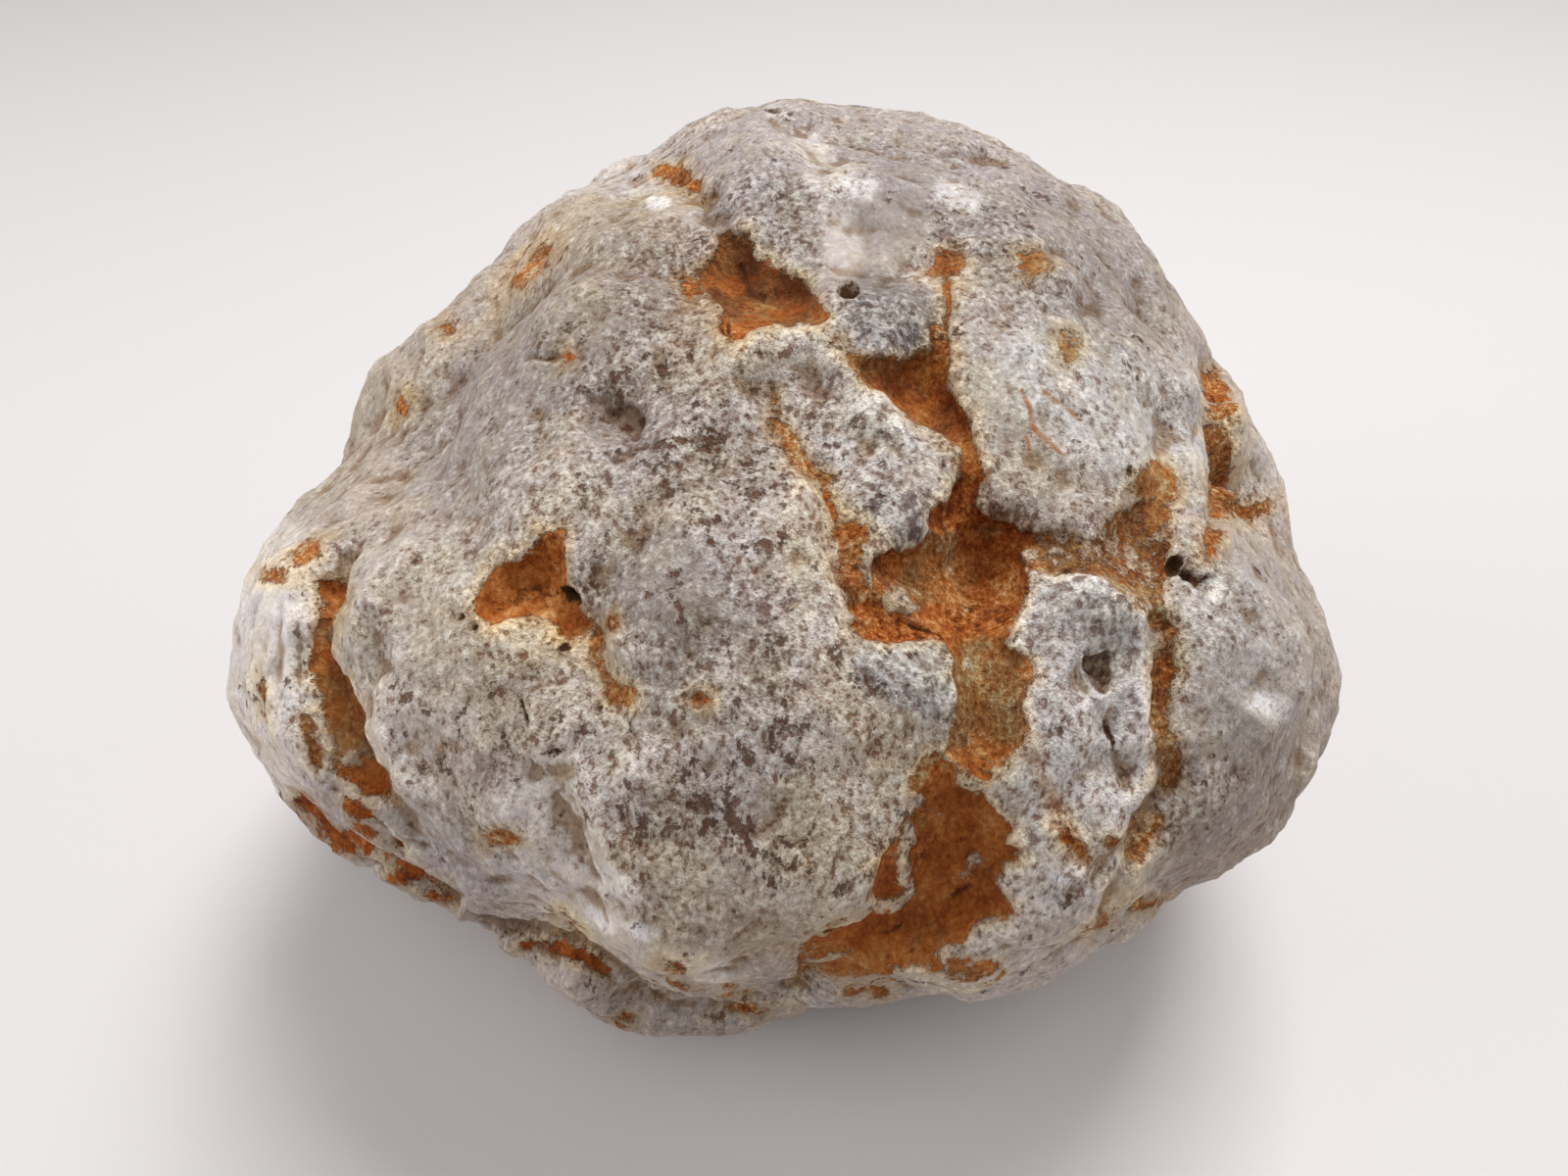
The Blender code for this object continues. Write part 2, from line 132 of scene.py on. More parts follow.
def add_lamp(name, place, size, power):
    """A square soft lamp that looks at the stone's middle."""
    bpy.ops.object.light_add(type="AREA", location=place)
    lamp = bpy.context.active_object
    lamp.name = name
    lamp.data.energy = power
    lamp.data.size = size
    aim = Vector(MIDDLE * MM) - lamp.location
    lamp.rotation_euler = aim.to_track_quat("-Z", "Y").to_euler()


for lamp_name, (lamp_place, lamp_size, lamp_power) in LAMPS.items():
    add_lamp(lamp_name, lamp_place, lamp_size, lamp_power)

sky = bpy.data.worlds.new("sky")
sky.use_nodes = True
sky.node_tree.nodes["Background"].inputs["Color"].default_value = SKY_COLOUR
sky.node_tree.nodes["Background"].inputs["Strength"].default_value = SKY_STRENGTH
bpy.context.scene.world = sky
bpy.context.scene.view_settings.view_transform = "Standard"
print("lamps:", list(LAMPS))

# %% [markdown]
# ## A finer skin
# The solid's facets are about three millimetres wide.  A copy of it is cut finer and
# relaxed until the facets are gone.  It could also be remeshed with voxels, but cutting
# the facets up keeps the solid's own grid, which is finest on the face that is looked at.


# %% Ways to relax and cut a mesh
def pick_only(piece):
    """Makes one piece the active and only selected one."""
    bpy.ops.object.select_all(action="DESELECT")
    bpy.context.view_layer.objects.active = piece
    piece.select_set(True)


def relax(piece, rounds):
    """Evens out a mesh by moving each point towards its neighbours."""
    pick_only(piece)
    bpy.ops.object.modifier_add(type="SMOOTH")
    smoother = piece.modifiers[-1]
    smoother.factor = 0.5
    smoother.iterations = rounds
    bpy.ops.object.modifier_apply(modifier=smoother.name)


def cut_finer(piece, chosen=None):
    """Halves every edge and cuts the triangles to match, or only edges between chosen points."""
    pick_only(piece)
    bpy.ops.object.mode_set(mode="EDIT")
    bpy.ops.mesh.select_all(action="SELECT" if chosen is None else "DESELECT")
    bpy.ops.object.mode_set(mode="OBJECT")
    if chosen is not None:
        piece.data.vertices.foreach_set("select", chosen)
        corners = np.empty(len(piece.data.edges) * 2, dtype=np.int32)
        piece.data.edges.foreach_get("vertices", corners)
        both = chosen[corners.reshape(-1, 2)].all(axis=1)
        piece.data.edges.foreach_set("select", both)
    bpy.ops.object.mode_set(mode="EDIT")
    bpy.ops.mesh.subdivide(number_cuts=1)
    bpy.ops.mesh.quads_convert_to_tris()
    bpy.ops.object.mode_set(mode="OBJECT")


# %% The stone's own copy
MERGE_REACH = 0.01 * MM

stone = bpy.data.objects.new("stone", solid.data.copy())
stone.data.materials.clear()
bpy.context.scene.collection.objects.link(stone)
pick_only(stone)
bpy.ops.object.mode_set(mode="EDIT")
bpy.ops.mesh.select_all(action="SELECT")
bpy.ops.mesh.remove_doubles(threshold=MERGE_REACH)
bpy.ops.object.mode_set(mode="OBJECT")
cut_finer(stone)
relax(stone, 1)
cut_finer(stone)
relax(stone, 2)
print("stone:", len(stone.data.vertices), "points,", len(stone.data.polygons), "faces")


# %% Read the skin's points
def points_of(piece):
    """A mesh's points as an array, in mm."""
    flat = np.empty(len(piece.data.vertices) * 3)
    piece.data.vertices.foreach_get("co", flat)
    return flat.reshape(-1, 3) / MM


def normals_of(piece):
    """A mesh's point normals as an array."""
    flat = np.empty(len(piece.data.vertices) * 3)
    piece.data.vertices.foreach_get("normal", flat)
    return flat.reshape(-1, 3)


print("skin spans", np.ptp(points_of(stone), axis=0).round(1).tolist(), "mm")

# %% [markdown]
# ## Where the clay lies
# Iron-stained clay filled the hollows between the lobes and ran along the creases.  Each
# patch is an outline, a streak or a spot on the plan.  What is kept for every point of
# the skin is its distance from the nearest clay edge, in millimetres: above zero inside
# the clay.  The edge itself is drawn later, in the material, where it can be ragged and
# far finer than the mesh.

# %% Outlines of the clay patches: (depth that it lies low, cap on how solid it is, corners)
CLAY_PANS = {
    "upper_pan": (0.8, 3.0, [
        (-9.5, 55.5), (-5.5, 54.5), (-4.5, 51), (0, 49), (3, 46.5), (6.5, 42), (6, 40.8),
        (2, 40.7), (-5, 39.5), (-6, 38), (-8.5, 37.5), (-10.5, 40.5), (-9.5, 42.5),
        (-12, 45), (-13, 48), (-11, 51), (-10, 54)]),
    "knob_pan": (1.0, 3.0, [
        (9, 38), (12, 35.5), (20, 35), (22, 37), (23.5, 40.5), (25, 40), (25.5, 37),
        (26, 35), (25.5, 30), (27.5, 27.5), (29, 25.5), (29.5, 22), (30, 18), (27, 17),
        (26.8, 21), (24, 22.8), (22, 24), (19, 26), (16, 29), (13, 31), (11, 34)]),
    "centre_pan": (1.0, 3.0, [
        (27, 21), (27, 17), (25, 14), (22, 11.5), (22, 8.5), (20, 6), (15.5, 5.5),
        (13.5, 5), (13.5, -2), (12, -5), (10, -6), (12, -8), (16, -7.8), (24, -8.2),
        (25.5, -10), (26, -14), (27, -18), (25, -22), (25.5, -26), (31, -30), (34, -27),
        (37, -24), (36.5, -17), (38, -14), (38, -11), (34, -8.5), (35.5, -5), (37, 1),
        (36.5, 9), (31, 11), (29.6, 13), (30.8, 17), (29.7, 21)]),
    "right_arm": (0.6, 0.35, [
        (36, 9), (45, 8), (48, 7.5), (50, 10), (52, 12), (58, 14), (59, 8), (58, 0),
        (57, -4.5), (54, -3.5), (52, -1.5), (50, 1), (46, 2.5), (41, 2.5), (36, 3.5)]),
    "low_knob": (0.2, 2.0, [
        (23, -25.5), (26, -27.5), (26, -31), (22, -33), (19.5, -31), (19, -29.5)]),
    "low_fan": (0.9, 3.0, [
        (26, -30), (31, -31.5), (33, -34.5), (34.8, -36.5), (34, -39.5), (36.5, -41),
        (33.5, -42.5), (32.2, -45), (33, -47.5), (35.2, -49), (35.5, -50.5), (30, -51.5),
        (27.5, -54), (25, -55), (22.5, -55.3), (24.2, -58), (20, -58.5), (16, -58.2),
        (16.5, -60), (9, -59.6), (2, -59), (1.3, -57.3), (4, -54.5), (10, -51.5),
        (14, -49.5), (13.2, -48), (14, -44), (15.6, -41), (17.2, -38.5), (19, -36.5),
        (20.5, -34.5), (22, -33)]),
    "left_hollow": (0.6, 3.0, [
        (-36, 8.5), (-34, 9), (-34, 6), (-33, 3), (-33.5, 0), (-31, -3), (-29.5, -5.5),
        (-31, -7.5), (-34.5, -8), (-35, -6), (-37, -4.5), (-42, -4.5), (-45, -6),
        (-47, -4), (-47, -1), (-45, 2), (-42, 4.5), (-38, 5.5)]),
    "left_crevice": (1.0, 1.0, [
        (-67, 0.5), (-69, -3), (-70, -8), (-69, -12), (-67, -16), (-65.3, -20), (-64, -25),
        (-61.5, -29), (-60.3, -32), (-65, -31), (-68.3, -28), (-69.5, -22), (-70.5, -17),
        (-73, -14), (-72.5, -8), (-71.5, -4), (-71, 1)]),
}
print("clay patches:", list(CLAY_PANS))

# %% Streaks of clay: (half width, points)
CLAY_STREAKS = [
    (0.35, [(-2, 30), (-1, 26.5), (0, 24)]),
    (0.9, [(0, 24), (1, 22.5), (3, 19.5), (6, 16.5)]),
    (0.2, [(6, 16.5), (7, 13), (8, 10)]),
    (1.5, [(10, 6.5), (10.3, 3), (11.3, 0), (12.8, -4)]),
    (0.8, [(-29, -7), (-28.5, -11), (-27, -14), (-25.5, -16.5)]),
    (0.6, [(25, 40), (25, 46), (24.5, 49)]),
    (1.2, [(57, -4), (58.5, -7), (58.5, -12), (57.5, -18), (58, -21), (59, -25), (59, -29)]),
    (1.2, [(-74, -33.3), (-71.5, -35.3), (-69.5, -38), (-67.3, -40)]),
    (0.9, [(-66.5, -37.3), (-63.8, -39.3)]),
    (0.9, [(-60, -40.8), (-57.8, -43.2)]),
    (0.6, [(-59.5, -44.7), (-55, -44.8), (-52, -45.2)]),
    (0.4, [(-54.5, -47.6), (-52.5, -48)]),
    (0.5, [(-35, -50.3), (-31.5, -52.6)]),
    (0.6, [(-39.5, -54.8), (-34, -55.4), (-30, -57), (-26.5, -59.7)]),
    (1.3, [(66.2, 32.5), (67, 28)]),
    (1.3, [(66.5, 24), (67.3, 20), (67, 16), (67.6, 12.5), (70, 11.5), (73.5, 12)]),
    (1.0, [(65, 5.5), (66, 8.5)]),
    (1.0, [(57, -35.5), (54, -41)]),
    (0.8, [(26, -58.7), (32.5, -58.6)]),
    (0.6, [(10, -61.5), (15.5, -61.3)]),
    (0.5, [(46, -53), (49.5, -51)]),
    (1.1, [(-20, 65), (-13.5, 61.5)]),
    (1.0, [(-73, -21), (-71.8, -26.5)]),
    (0.8, [(-67.3, -33), (-65, -35)]),
]
print(len(CLAY_STREAKS), "streaks of clay")

# %% Spots of clay: (across, up, half width, half height, degrees turned)
CLAY_SPOTS = [
    (-39, 48.5, 3.4, 1.3, 45), (-73, 5.5, 2.1, 1.2, 45), (-78, 2, 1.5, 0.8, 0),
    (-58.5, 28, 0.5, 1.0, 0), (-51.5, 39.5, 0.7, 0.7, 0), (-33, 35.3, 0.8, 0.8, 0),
    (38, 49.8, 2.0, 1.4, 0), (43.5, 36, 1.2, 2.0, 10), (-13, -17, 1.0, 1.0, 0),
    (-79.8, -16.5, 0.4, 1.5, 0), (50.3, -38.8, 1.0, 1.0, 0), (56.5, -48.3, 2.0, 0.8, 0),
    (-24.5, -66, 1.0, 0.8, 0), (-5.5, -65, 1.5, 0.5, 0), (-16.5, -58, 1.3, 0.6, 0),
    (-17, -61.5, 2.0, 0.5, 0), (-8, -62, 1.0, 0.5, 0), (-25.3, -16.5, 1.8, 1.5, 0),
    (-26.5, -5, 1.0, 1.0, 0), (24.8, 49.5, 2.6, 2.2, 20), (-43.5, -38.5, 1.5, 1.0, 0),
    (10.2, 8, 2.4, 1.8, 0), (44.5, -39, 0.9, 2.4, 35), (57, 16.5, 3.2, 2.6, 0),
    (-14.5, 46.3, 1.3, 1.3, 0),
]
print(len(CLAY_SPOTS), "spots of clay")

# %% Seams where the clay dried, and thin rust lines on one lobe: (half width, points)
CLAY_SEAMS = [
    (0.3, [(19.5, -5.2), (21.5, -5.8), (23, -7)]), (0.25, [(21.5, -5.0), (23.5, -6), (24.5, -8)]),
    (0.2, [(-40.6, 1.2), (-39.6, -0.4), (-38, 0.2), (-37, -1.0), (-35.2, -0.8)]),
    (0.2, [(-38.8, -1.9), (-37.2, -2.6)]), (0.25, [(-8.5, 41.3), (-8.2, 39.5), (-6.8, 38.8)]),
    (0.25, [(-9.6, 40.4), (-9, 39)]), (0.2, [(21, -52.2), (23, -51.2), (24, -51.6)]),
    (0.25, [(-7, 50), (-5.5, 46), (-3, 45)]), (0.2, [(26, -48), (28.5, -46.5)]),
    (0.25, [(49, 5.2), (49.8, 7)]), (0.2, [(16, -53), (18.5, -52)]),
    (0.3, [(36.5, 30.3), (38.5, 24.4), (42.7, 20.4)]), (0.3, [(39.8, 30), (45.3, 25.9)]),
    (0.28, [(37.2, 23.3), (37.7, 19.7)]),
]
print(len(CLAY_SEAMS), "seams")

# %% Islands of crust in the clay: (across, up, half width, half height, degrees turned)
CRUST_SPOTS = [
    (17.8, -1.5, 3.0, 1.8, -40), (37.8, 5.0, 1.6, 1.3, 0), (41.8, 5.2, 1.6, 0.7, 10),
    (27.0, -43.8, 1.5, 0.9, 35), (28.7, -41.6, 0.9, 1.6, -25), (7.2, -56.5, 2.4, 0.9, 8),
    (23.4, -34.8, 0.8, 1.6, 25), (68.8, 25, 1.3, 2.6, 0), (-66.5, -26.3, 1.2, 1.0, 0),
    (33.5, -28.8, 2.4, 1.2, -30),
]
CRUST_STREAKS = [
    (0.9, [(19.7, -37), (18.6, -41), (18.6, -44), (19.3, -46.3), (17, -48.6), (14.8, -49)]),
]
print(len(CRUST_SPOTS) + len(CRUST_STREAKS), "islands")


# %% Distances on the plan
def distance_to_line(places, line):
    """Distance of places on the plan to a chain of straight stretches."""
    nearest = np.full(len(places), np.inf)
    for start, end in zip(line[:-1], line[1:]):
        start = np.array(start, dtype=float)
        run = np.array(end, dtype=float) - start
        share = np.clip((places - start) @ run / (run @ run), 0.0, 1.0)
        gap = places - (start + share[:, None] * run)
        nearest = np.minimum(nearest, np.hypot(gap[:, 0], gap[:, 1]))
    return nearest


def distance_inside(places, corners):
    """Distance to a closed outline, above zero inside it and below zero outside."""
    inside = np.zeros(len(places), dtype=bool)
    closed = corners + corners[:1]
    for (start_across, start_up), (end_across, end_up) in zip(closed[:-1], closed[1:]):
        if start_up == end_up:
            continue
        spans = (start_up > places[:, 1]) != (end_up > places[:, 1])
        share = (places[:, 1] - start_up) / (end_up - start_up)
        inside ^= spans & (places[:, 0] < start_across + share * (end_across - start_across))
    edge = distance_to_line(places, closed)
    return np.where(inside, edge, -edge)


def distance_in_spot(places, across, up, half_width, half_height, degrees):
    """Roughly the distance inside an oval spot."""
    turn = math.radians(degrees)
    gap = places - np.array([across, up])
    along = gap[:, 0] * math.cos(turn) + gap[:, 1] * math.sin(turn)
    aside = gap[:, 1] * math.cos(turn) - gap[:, 0] * math.sin(turn)
    oval = np.hypot(along / half_width, aside / half_height)
    return (1.0 - oval) * min(half_width, half_height)


in_fan = np.array([[25.0, -45.0]])  # a place in the clay fan at the front
fan_edge = distance_inside(in_fan, CLAY_PANS["low_fan"][2])
print("the fan's edge is", fan_edge.round(1).tolist(), "mm away from", in_fan.tolist())


# %% Clay on the plan
NO_CLAY = -12.0          # mm, far outside every patch
THIN_CLAY = 0.15         # mm that clay lies low where no patch says more
PAN_BANK = (-2.5, -1.0)  # mm outside a patch between which its depth starts
STREAK_SPREAD = 0.15     # mm that a streak reaches past its own width
SPOT_SPREAD = 0.3        # mm that a spot reaches past its own size
ISLAND_SHRINK = 0.2      # mm that an island stays inside its own size
ISLAND_SLOPE = 0.8       # how sharp an island's edge is, beside a spot's


def clay_on_plan(places):
    """Distance inside the nearest clay, and how deep the pans there lie under the crust."""
    distance = np.full(len(places), NO_CLAY)
    pan_depth = np.full(len(places), THIN_CLAY)
    for depth, cap, corners in CLAY_PANS.values():
        pan = distance_inside(places, corners)
        distance = np.maximum(distance, np.minimum(pan, cap))
        pan_depth = np.maximum(pan_depth, depth * smooth_step(*PAN_BANK, pan))
    for half_width, line in CLAY_STREAKS:
        reach = half_width + STREAK_SPREAD
        distance = np.maximum(distance, reach - distance_to_line(places, line))
    for spot in CLAY_SPOTS:
        distance = np.maximum(distance, SPOT_SPREAD + distance_in_spot(places, *spot))
    for spot in CRUST_SPOTS:
        island = distance_in_spot(places, *spot)
        distance = np.minimum(distance, ISLAND_SHRINK - ISLAND_SLOPE * island)
    for half_width, line in CRUST_STREAKS:
        distance = np.minimum(distance, distance_to_line(places, line) - half_width)
    return distance, pan_depth


def seam_on_plan(places):
    """Distance inside the nearest seam in the clay, or rust line on the crust."""
    lines = [width - distance_to_line(places, line) for width, line in CLAY_SEAMS]
    return np.max(lines, axis=0)


print("the fan's bed lies", clay_on_plan(in_fan)[1].tolist(), "mm low")

# %% [markdown]
# ## Pits and cracks
# Holes where a grain fell out, the wide vug of the right-hand lobe, and the thin cracks
# along some lobes.  They are dented into the skin, and the same distances tell the
# material where to darken the holes and cracks with painted shade in a dirt brown.

# %% Holes: (across, up, half width, half height, degrees turned, depth in mm)
HOLES = [
    (9.9, 46.0, 1.25, 1.1, 0, 3.0), (-32.8, -1.4, 1.5, 1.1, -30, 1.5), (60.1, 3.6, 1.6, 0.8, 40, 1.6),
    (61.7, 2.0, 1.3, 0.5, -40, 0.9), (43.0, 2.7, 0.6, 0.5, 0, 0.7), (-49.5, -4.5, 0.5, 0.5, 0, 0.3),
    (-47.5, -6.0, 0.6, 0.4, 0, 0.4), (34.5, -8.0, 1.4, 0.3, 45, 0.5), (15.5, 27.3, 0.5, 0.35, 30, 0.3),
    (53.3, 18.0, 0.4, 0.7, 20, 0.3), (49.5, -22.0, 0.5, 1.3, 20, 0.4), (-2.0, 73.0, 1.2, 0.35, 0, 0.4),
    (-39.8, -19.0, 0.3, 1.3, 20, 0.4), (-35.3, -25.3, 1.1, 0.3, 10, 0.3),
    (-68.3, -12.6, 0.5, 0.7, 0, 0.3), (24.2, 19.0, 0.3, 0.5, 0, 0.3), (-33.6, -9.0, 0.5, 0.2, 20, 0.3),
    (63.5, 1.0, 0.8, 0.3, 30, 0.3),
]
print(len(HOLES), "holes")

# %% Shallow vugs, not dark inside: (depth in mm, corners)
VUGS = [
    (1.5, [(45.6, -9.8), (47.0, -10.8), (48.6, -10.2), (50.2, -10.0), (49.6, -12.5),
           (49.9, -14.5), (49.4, -16.8), (48.2, -14.6), (46.4, -12.6)]),
    (0.6, [(-29.5, 25.5), (-27, 28), (-22.5, 28), (-21.5, 25.5), (-22.2, 22.5), (-26, 25)]),
]
print(len(VUGS), "shallow vugs")

# %% Cracks: (half width, depth in mm, points)
CRACKS = [
    (0.4, 0.5, [(50, -24), (51.5, -27), (52.5, -29.5)]),
    (0.4, 0.5, [(18.5, -19), (19.3, -21.5), (18.5, -24)]),
    (0.4, 0.5, [(-40, 35.5), (-35, 35.5)]),
]
print(len(CRACKS), "cracks")

# %% Creases, wide and soft, not dark inside: (half width, depth in mm, points)
CREASES = [
    (1.0, 0.6, [(57.2, -5), (57.6, -12), (57, -18), (57.5, -26)]),
    (1.2, 0.9, [(65.5, 34), (66, 24), (66.5, 16), (66, 10)]),
    (0.9, 0.8, [(60.5, -29), (56.5, -32.5), (54.6, -36.5), (53.5, -43), (49, -50)]),
    (0.7, 0.6, [(33, -59.5), (40, -57), (47, -53.5), (53, -49.3)]),
]
print(len(CREASES), "creases")

# %% Ledges, where one plate of crust overlaps the next: (step in mm, reach in mm, points)
# Walking along the points, the lower plate is on the right.
LEDGES = [
    (0.9, 6.0, [(-36, -29.5), (-33, -33.5), (-31, -37), (-29, -41.5), (-27.5, -45), (-26.8, -48)]),
    (1.1, 4.0, [(-66.5, 2), (-69.3, -4), (-69.5, -10), (-67, -15), (-65, -20), (-63.5, -25),
                (-60, -31)]),
    (0.8, 3.0, [(-73.5, -23), (-75, -14), (-75.5, -6), (-75, 2)]),
    (0.7, 2.5, [(-77, -23), (-78.5, -15), (-78.3, -8), (-77.5, 1)]),
    (0.7, 2.5, [(-81, -1), (-82, -8), (-81.3, -14), (-79.5, -19), (-77, -25)]),
    (0.5, 2.0, [(-81, -12.3), (-78, -13.5), (-75, -13)]),
    (0.4, 2.0, [(-79, -5.5), (-76.5, -5), (-73.5, -7)]),
    (1.2, 4.0, [(-76, -31), (-73, -32.8), (-70, -35.5), (-67, -38.3), (-64, -41), (-60, -44)]),
    (1.3, 5.0, [(-67, -31), (-62, -36), (-59, -39.5), (-55, -43.5), (-51, -45.3), (-47, -48.3),
                (-43, -50.3), (-38, -50), (-34, -50.5), (-31, -53), (-27, -56), (-21, -58.5)]),
    (0.7, 2.5, [(-61, -39), (-58.5, -42), (-56, -44.6), (-51, -45)]),
    (1.1, 4.0, [(-42, -54), (-38, -54.3), (-34, -55), (-29, -56.5), (-25.5, -60), (-22, -63)]),
    (1.0, 4.0, [(-29, -55.5), (-22, -60), (-17, -61.8), (-10, -63.3), (-3, -63.8)]),
    (0.5, 3.0, [(-46, -36), (-42, -41), (-38, -45), (-33, -48)]),
    (0.5, 2.0, [(-61, -38), (-57, -38.3), (-54, -39.8), (-51.5, -42.5)]),
    (0.8, 3.0, [(-1, -57), (5, -53), (10, -50.3), (14, -47.8), (16, -44)]),
    (0.7, 5.0, [(59.5, -28), (57.2, -18), (57.8, -12), (57.3, -3)]),
    (0.6, 4.0, [(-54, 40), (-58, 30), (-66, 20), (-72, 11)]),
    (0.5, 3.0, [(-31, 20.5), (-25, 21.3), (-20, 22.8), (-16, 26)]),
]
print(len(LEDGES), "ledges")

# %% How deep it is beside a ledge
LEDGE_FACE = (-0.3, 0.4)  # mm across a ledge between which it drops
LEDGE_TAPER = 5.0         # mm over which its two ends fade out


def ledge_depth(places, step, reach, line):
    """Depth in mm beside one ledge: sudden at the line, fading out over its reach."""
    depth = np.zeros(len(places))
    nearest = np.full(len(places), np.inf)
    for start, end in zip(line[:-1], line[1:]):
        distance = distance_to_line(places, [start, end])
        run = np.array(end, dtype=float) - np.array(start, dtype=float)
        gap = places - np.array(start, dtype=float)
        on_right = gap[:, 0] * run[1] - gap[:, 1] * run[0]
        signed = np.where(on_right > 0, distance, -distance)
        this_depth = smooth_step(*LEDGE_FACE, signed) * smooth_step(reach, 0.0, signed)
        depth = np.where(distance < nearest, this_depth, depth)
        nearest = np.minimum(nearest, distance)
    to_ends = [np.hypot(*(places - np.array(end, dtype=float)).T) for end in (line[0], line[-1])]
    return step * depth * smooth_step(0.0, LEDGE_TAPER, np.minimum(*to_ends))


# %% Holes and hollows on the plan
NO_HOLE = -6.0            # mm, far outside every hole
HOLE_LIP = 0.35           # mm outside a hole where it starts to dip
HOLE_BOTTOM = 0.8         # how far in it is deepest, as a share of its half width
HOLE_SHADE_REACH = 0.25    # mm that the painted shade reaches past a hole's edge
CRACK_LIP = 0.6           # mm outside a crack where it starts to dip
CRACK_SHADE_REACH = -0.35  # mm, so that the painted shade covers only the middle of a wide crack
VUG_WALL = (-0.2, 0.7)    # mm inside a vug between which its wall drops


def hollow_on_plan(places):
    """Distance inside the nearest hole or crack that gets painted shade, and the depth dented there in
    mm.
    """
    distance = np.full(len(places), NO_HOLE)
    depth = np.zeros(len(places))

    def dent_in(new_depth, low, high, inside):
        """Deepens the plan to a new depth, while inside goes from low to high."""
        np.maximum(depth, new_depth * smooth_step(low, high, inside), out=depth)

    for *spot, hole_depth in HOLES:
        inside = distance_in_spot(places, *spot)
        distance = np.maximum(distance, inside + HOLE_SHADE_REACH)
        dent_in(hole_depth, -HOLE_LIP, HOLE_BOTTOM * min(spot[2], spot[3]), inside)
    for vug_depth, corners in VUGS:
        dent_in(vug_depth, *VUG_WALL, distance_inside(places, corners))
    for half_width, crack_depth, line in CRACKS:
        inside = half_width - distance_to_line(places, line)
        distance = np.maximum(distance, inside + CRACK_SHADE_REACH)
        dent_in(crack_depth, -CRACK_LIP, half_width, inside)
    for half_width, crease_depth, line in CREASES:
        inside = half_width - distance_to_line(places, line)
        dent_in(crease_depth, -half_width, half_width, inside)
    for step, reach, line in LEDGES:
        np.maximum(depth, ledge_depth(places, step, reach, line), out=depth)
    return distance, depth


top_hole = np.array([HOLES[0][:2]])
print("the top hole is", hollow_on_plan(top_hole)[1].tolist(), "mm deep")

# %% [markdown]
# ## Cut finest where an edge is sharp
# Along the clay's banks and round the holes the skin is cut once more, so that an edge
# there is less than half a millimetre wide.  Everywhere else the coarser skin is enough.

# %% Cut the edges once more
EDGE_BAND = 1.1    # mm each side of a clay edge
HOLE_BAND = 1.0    # mm round a hole
LEDGE_BAND = 0.7   # mm each side of a ledge
SEAM_BAND = 0.5    # mm round a seam
CUT_FACING = 0.05  # the skin is only cut where it faces the eye more than this


def show_view(piece):
    """A piece's points in mm, their places on the plan, and how far they face the eye."""
    skin = points_of(piece)
    from_middle = skin - MIDDLE
    to_eye = TOWARDS_EYE * SHOW_DISTANCE - from_middle
    to_eye /= np.linalg.norm(to_eye, axis=1)[:, None]
    return skin, plan_of(from_middle), (normals_of(piece) * to_eye).sum(axis=1)


skin, places, facing = show_view(stone)
clay_distance, _ = clay_on_plan(places)
hollow_distance, _ = hollow_on_plan(places)
on_edge = (np.abs(clay_distance) < EDGE_BAND) | (hollow_distance > -HOLE_BAND)
on_edge |= seam_on_plan(places) > -SEAM_BAND
for _, corners in VUGS:
    on_edge |= np.abs(distance_inside(places, corners)) < HOLE_BAND
for _, _, line in LEDGES:
    on_edge |= distance_to_line(places, line) < LEDGE_BAND
cut_finer(stone, on_edge & (facing > CUT_FACING))
bpy.ops.object.shade_smooth()
print("stone:", len(stone.data.vertices), "points,", len(stone.data.polygons), "faces")

# %% [markdown]
# ## The sides that the plan doesn't reach
# Round the back the clay lies where it would have stayed by itself: low down between the
# lobes.  A heavily relaxed copy of the stone shows what is low, because every hollow of
# the real skin lies under it.

# %% The show face, and how low each point lies
HOLLOW_ROUNDS = 90
HOLLOW_LEVEL = 0.9      # mm under the relaxed copy at which clay starts
HOLLOW_GAIN = 4.0       # mm of clay width for each mm that a hollow is deeper
SEEN = (-0.40, -0.15)   # facing between which the plan takes over from the rule


def relaxed_copy(piece, rounds):
    """A relaxed copy of a piece to measure against, removed again afterwards."""
    copy = piece.copy()
    copy.data = piece.data.copy()
    bpy.context.scene.collection.objects.link(copy)
    relax(copy, rounds)
    return copy


skin, places, facing = show_view(stone)
relaxed = relaxed_copy(stone, HOLLOW_ROUNDS)
relaxed_skin, _, relaxed_facing = show_view(relaxed)
outward = normals_of(stone)
lowness = ((relaxed_skin - skin) * outward).sum(axis=1)
bpy.data.objects.remove(relaxed)
best_facing = np.maximum(facing, relaxed_facing)
seen = smooth_step(*SEEN, best_facing)
print("hollows reach", round(float(lowness.max()), 2), "mm under the relaxed copy")


# %% Noise over the skin
def noise_at(size, seed):
    """Soft noise, about -1 to 1, with lumps of the given size in mm, at every point."""
    shift = Vector((seed * 13.7, seed * 7.1, seed * 3.3))
    return np.array([noise.noise(Vector(point) / size + shift) for point in skin])


broad = noise_at(24.0, 1.0)
middling = noise_at(7.0, 2.0)
fine = noise_at(2.4, 3.0)
fine_too = noise_at(2.4, 8.0)
finest = noise_at(1.1, 7.0)
BIG_WANDER = 0.9    # how far edges wander in lumps of a few mm
SMALL_WANDER = 0.4  # and in lumps of one mm
wander = np.stack([fine * BIG_WANDER + finest * SMALL_WANDER,
                   fine_too * BIG_WANDER - finest * SMALL_WANDER], axis=1)
print("noise laid on", len(skin), "points")

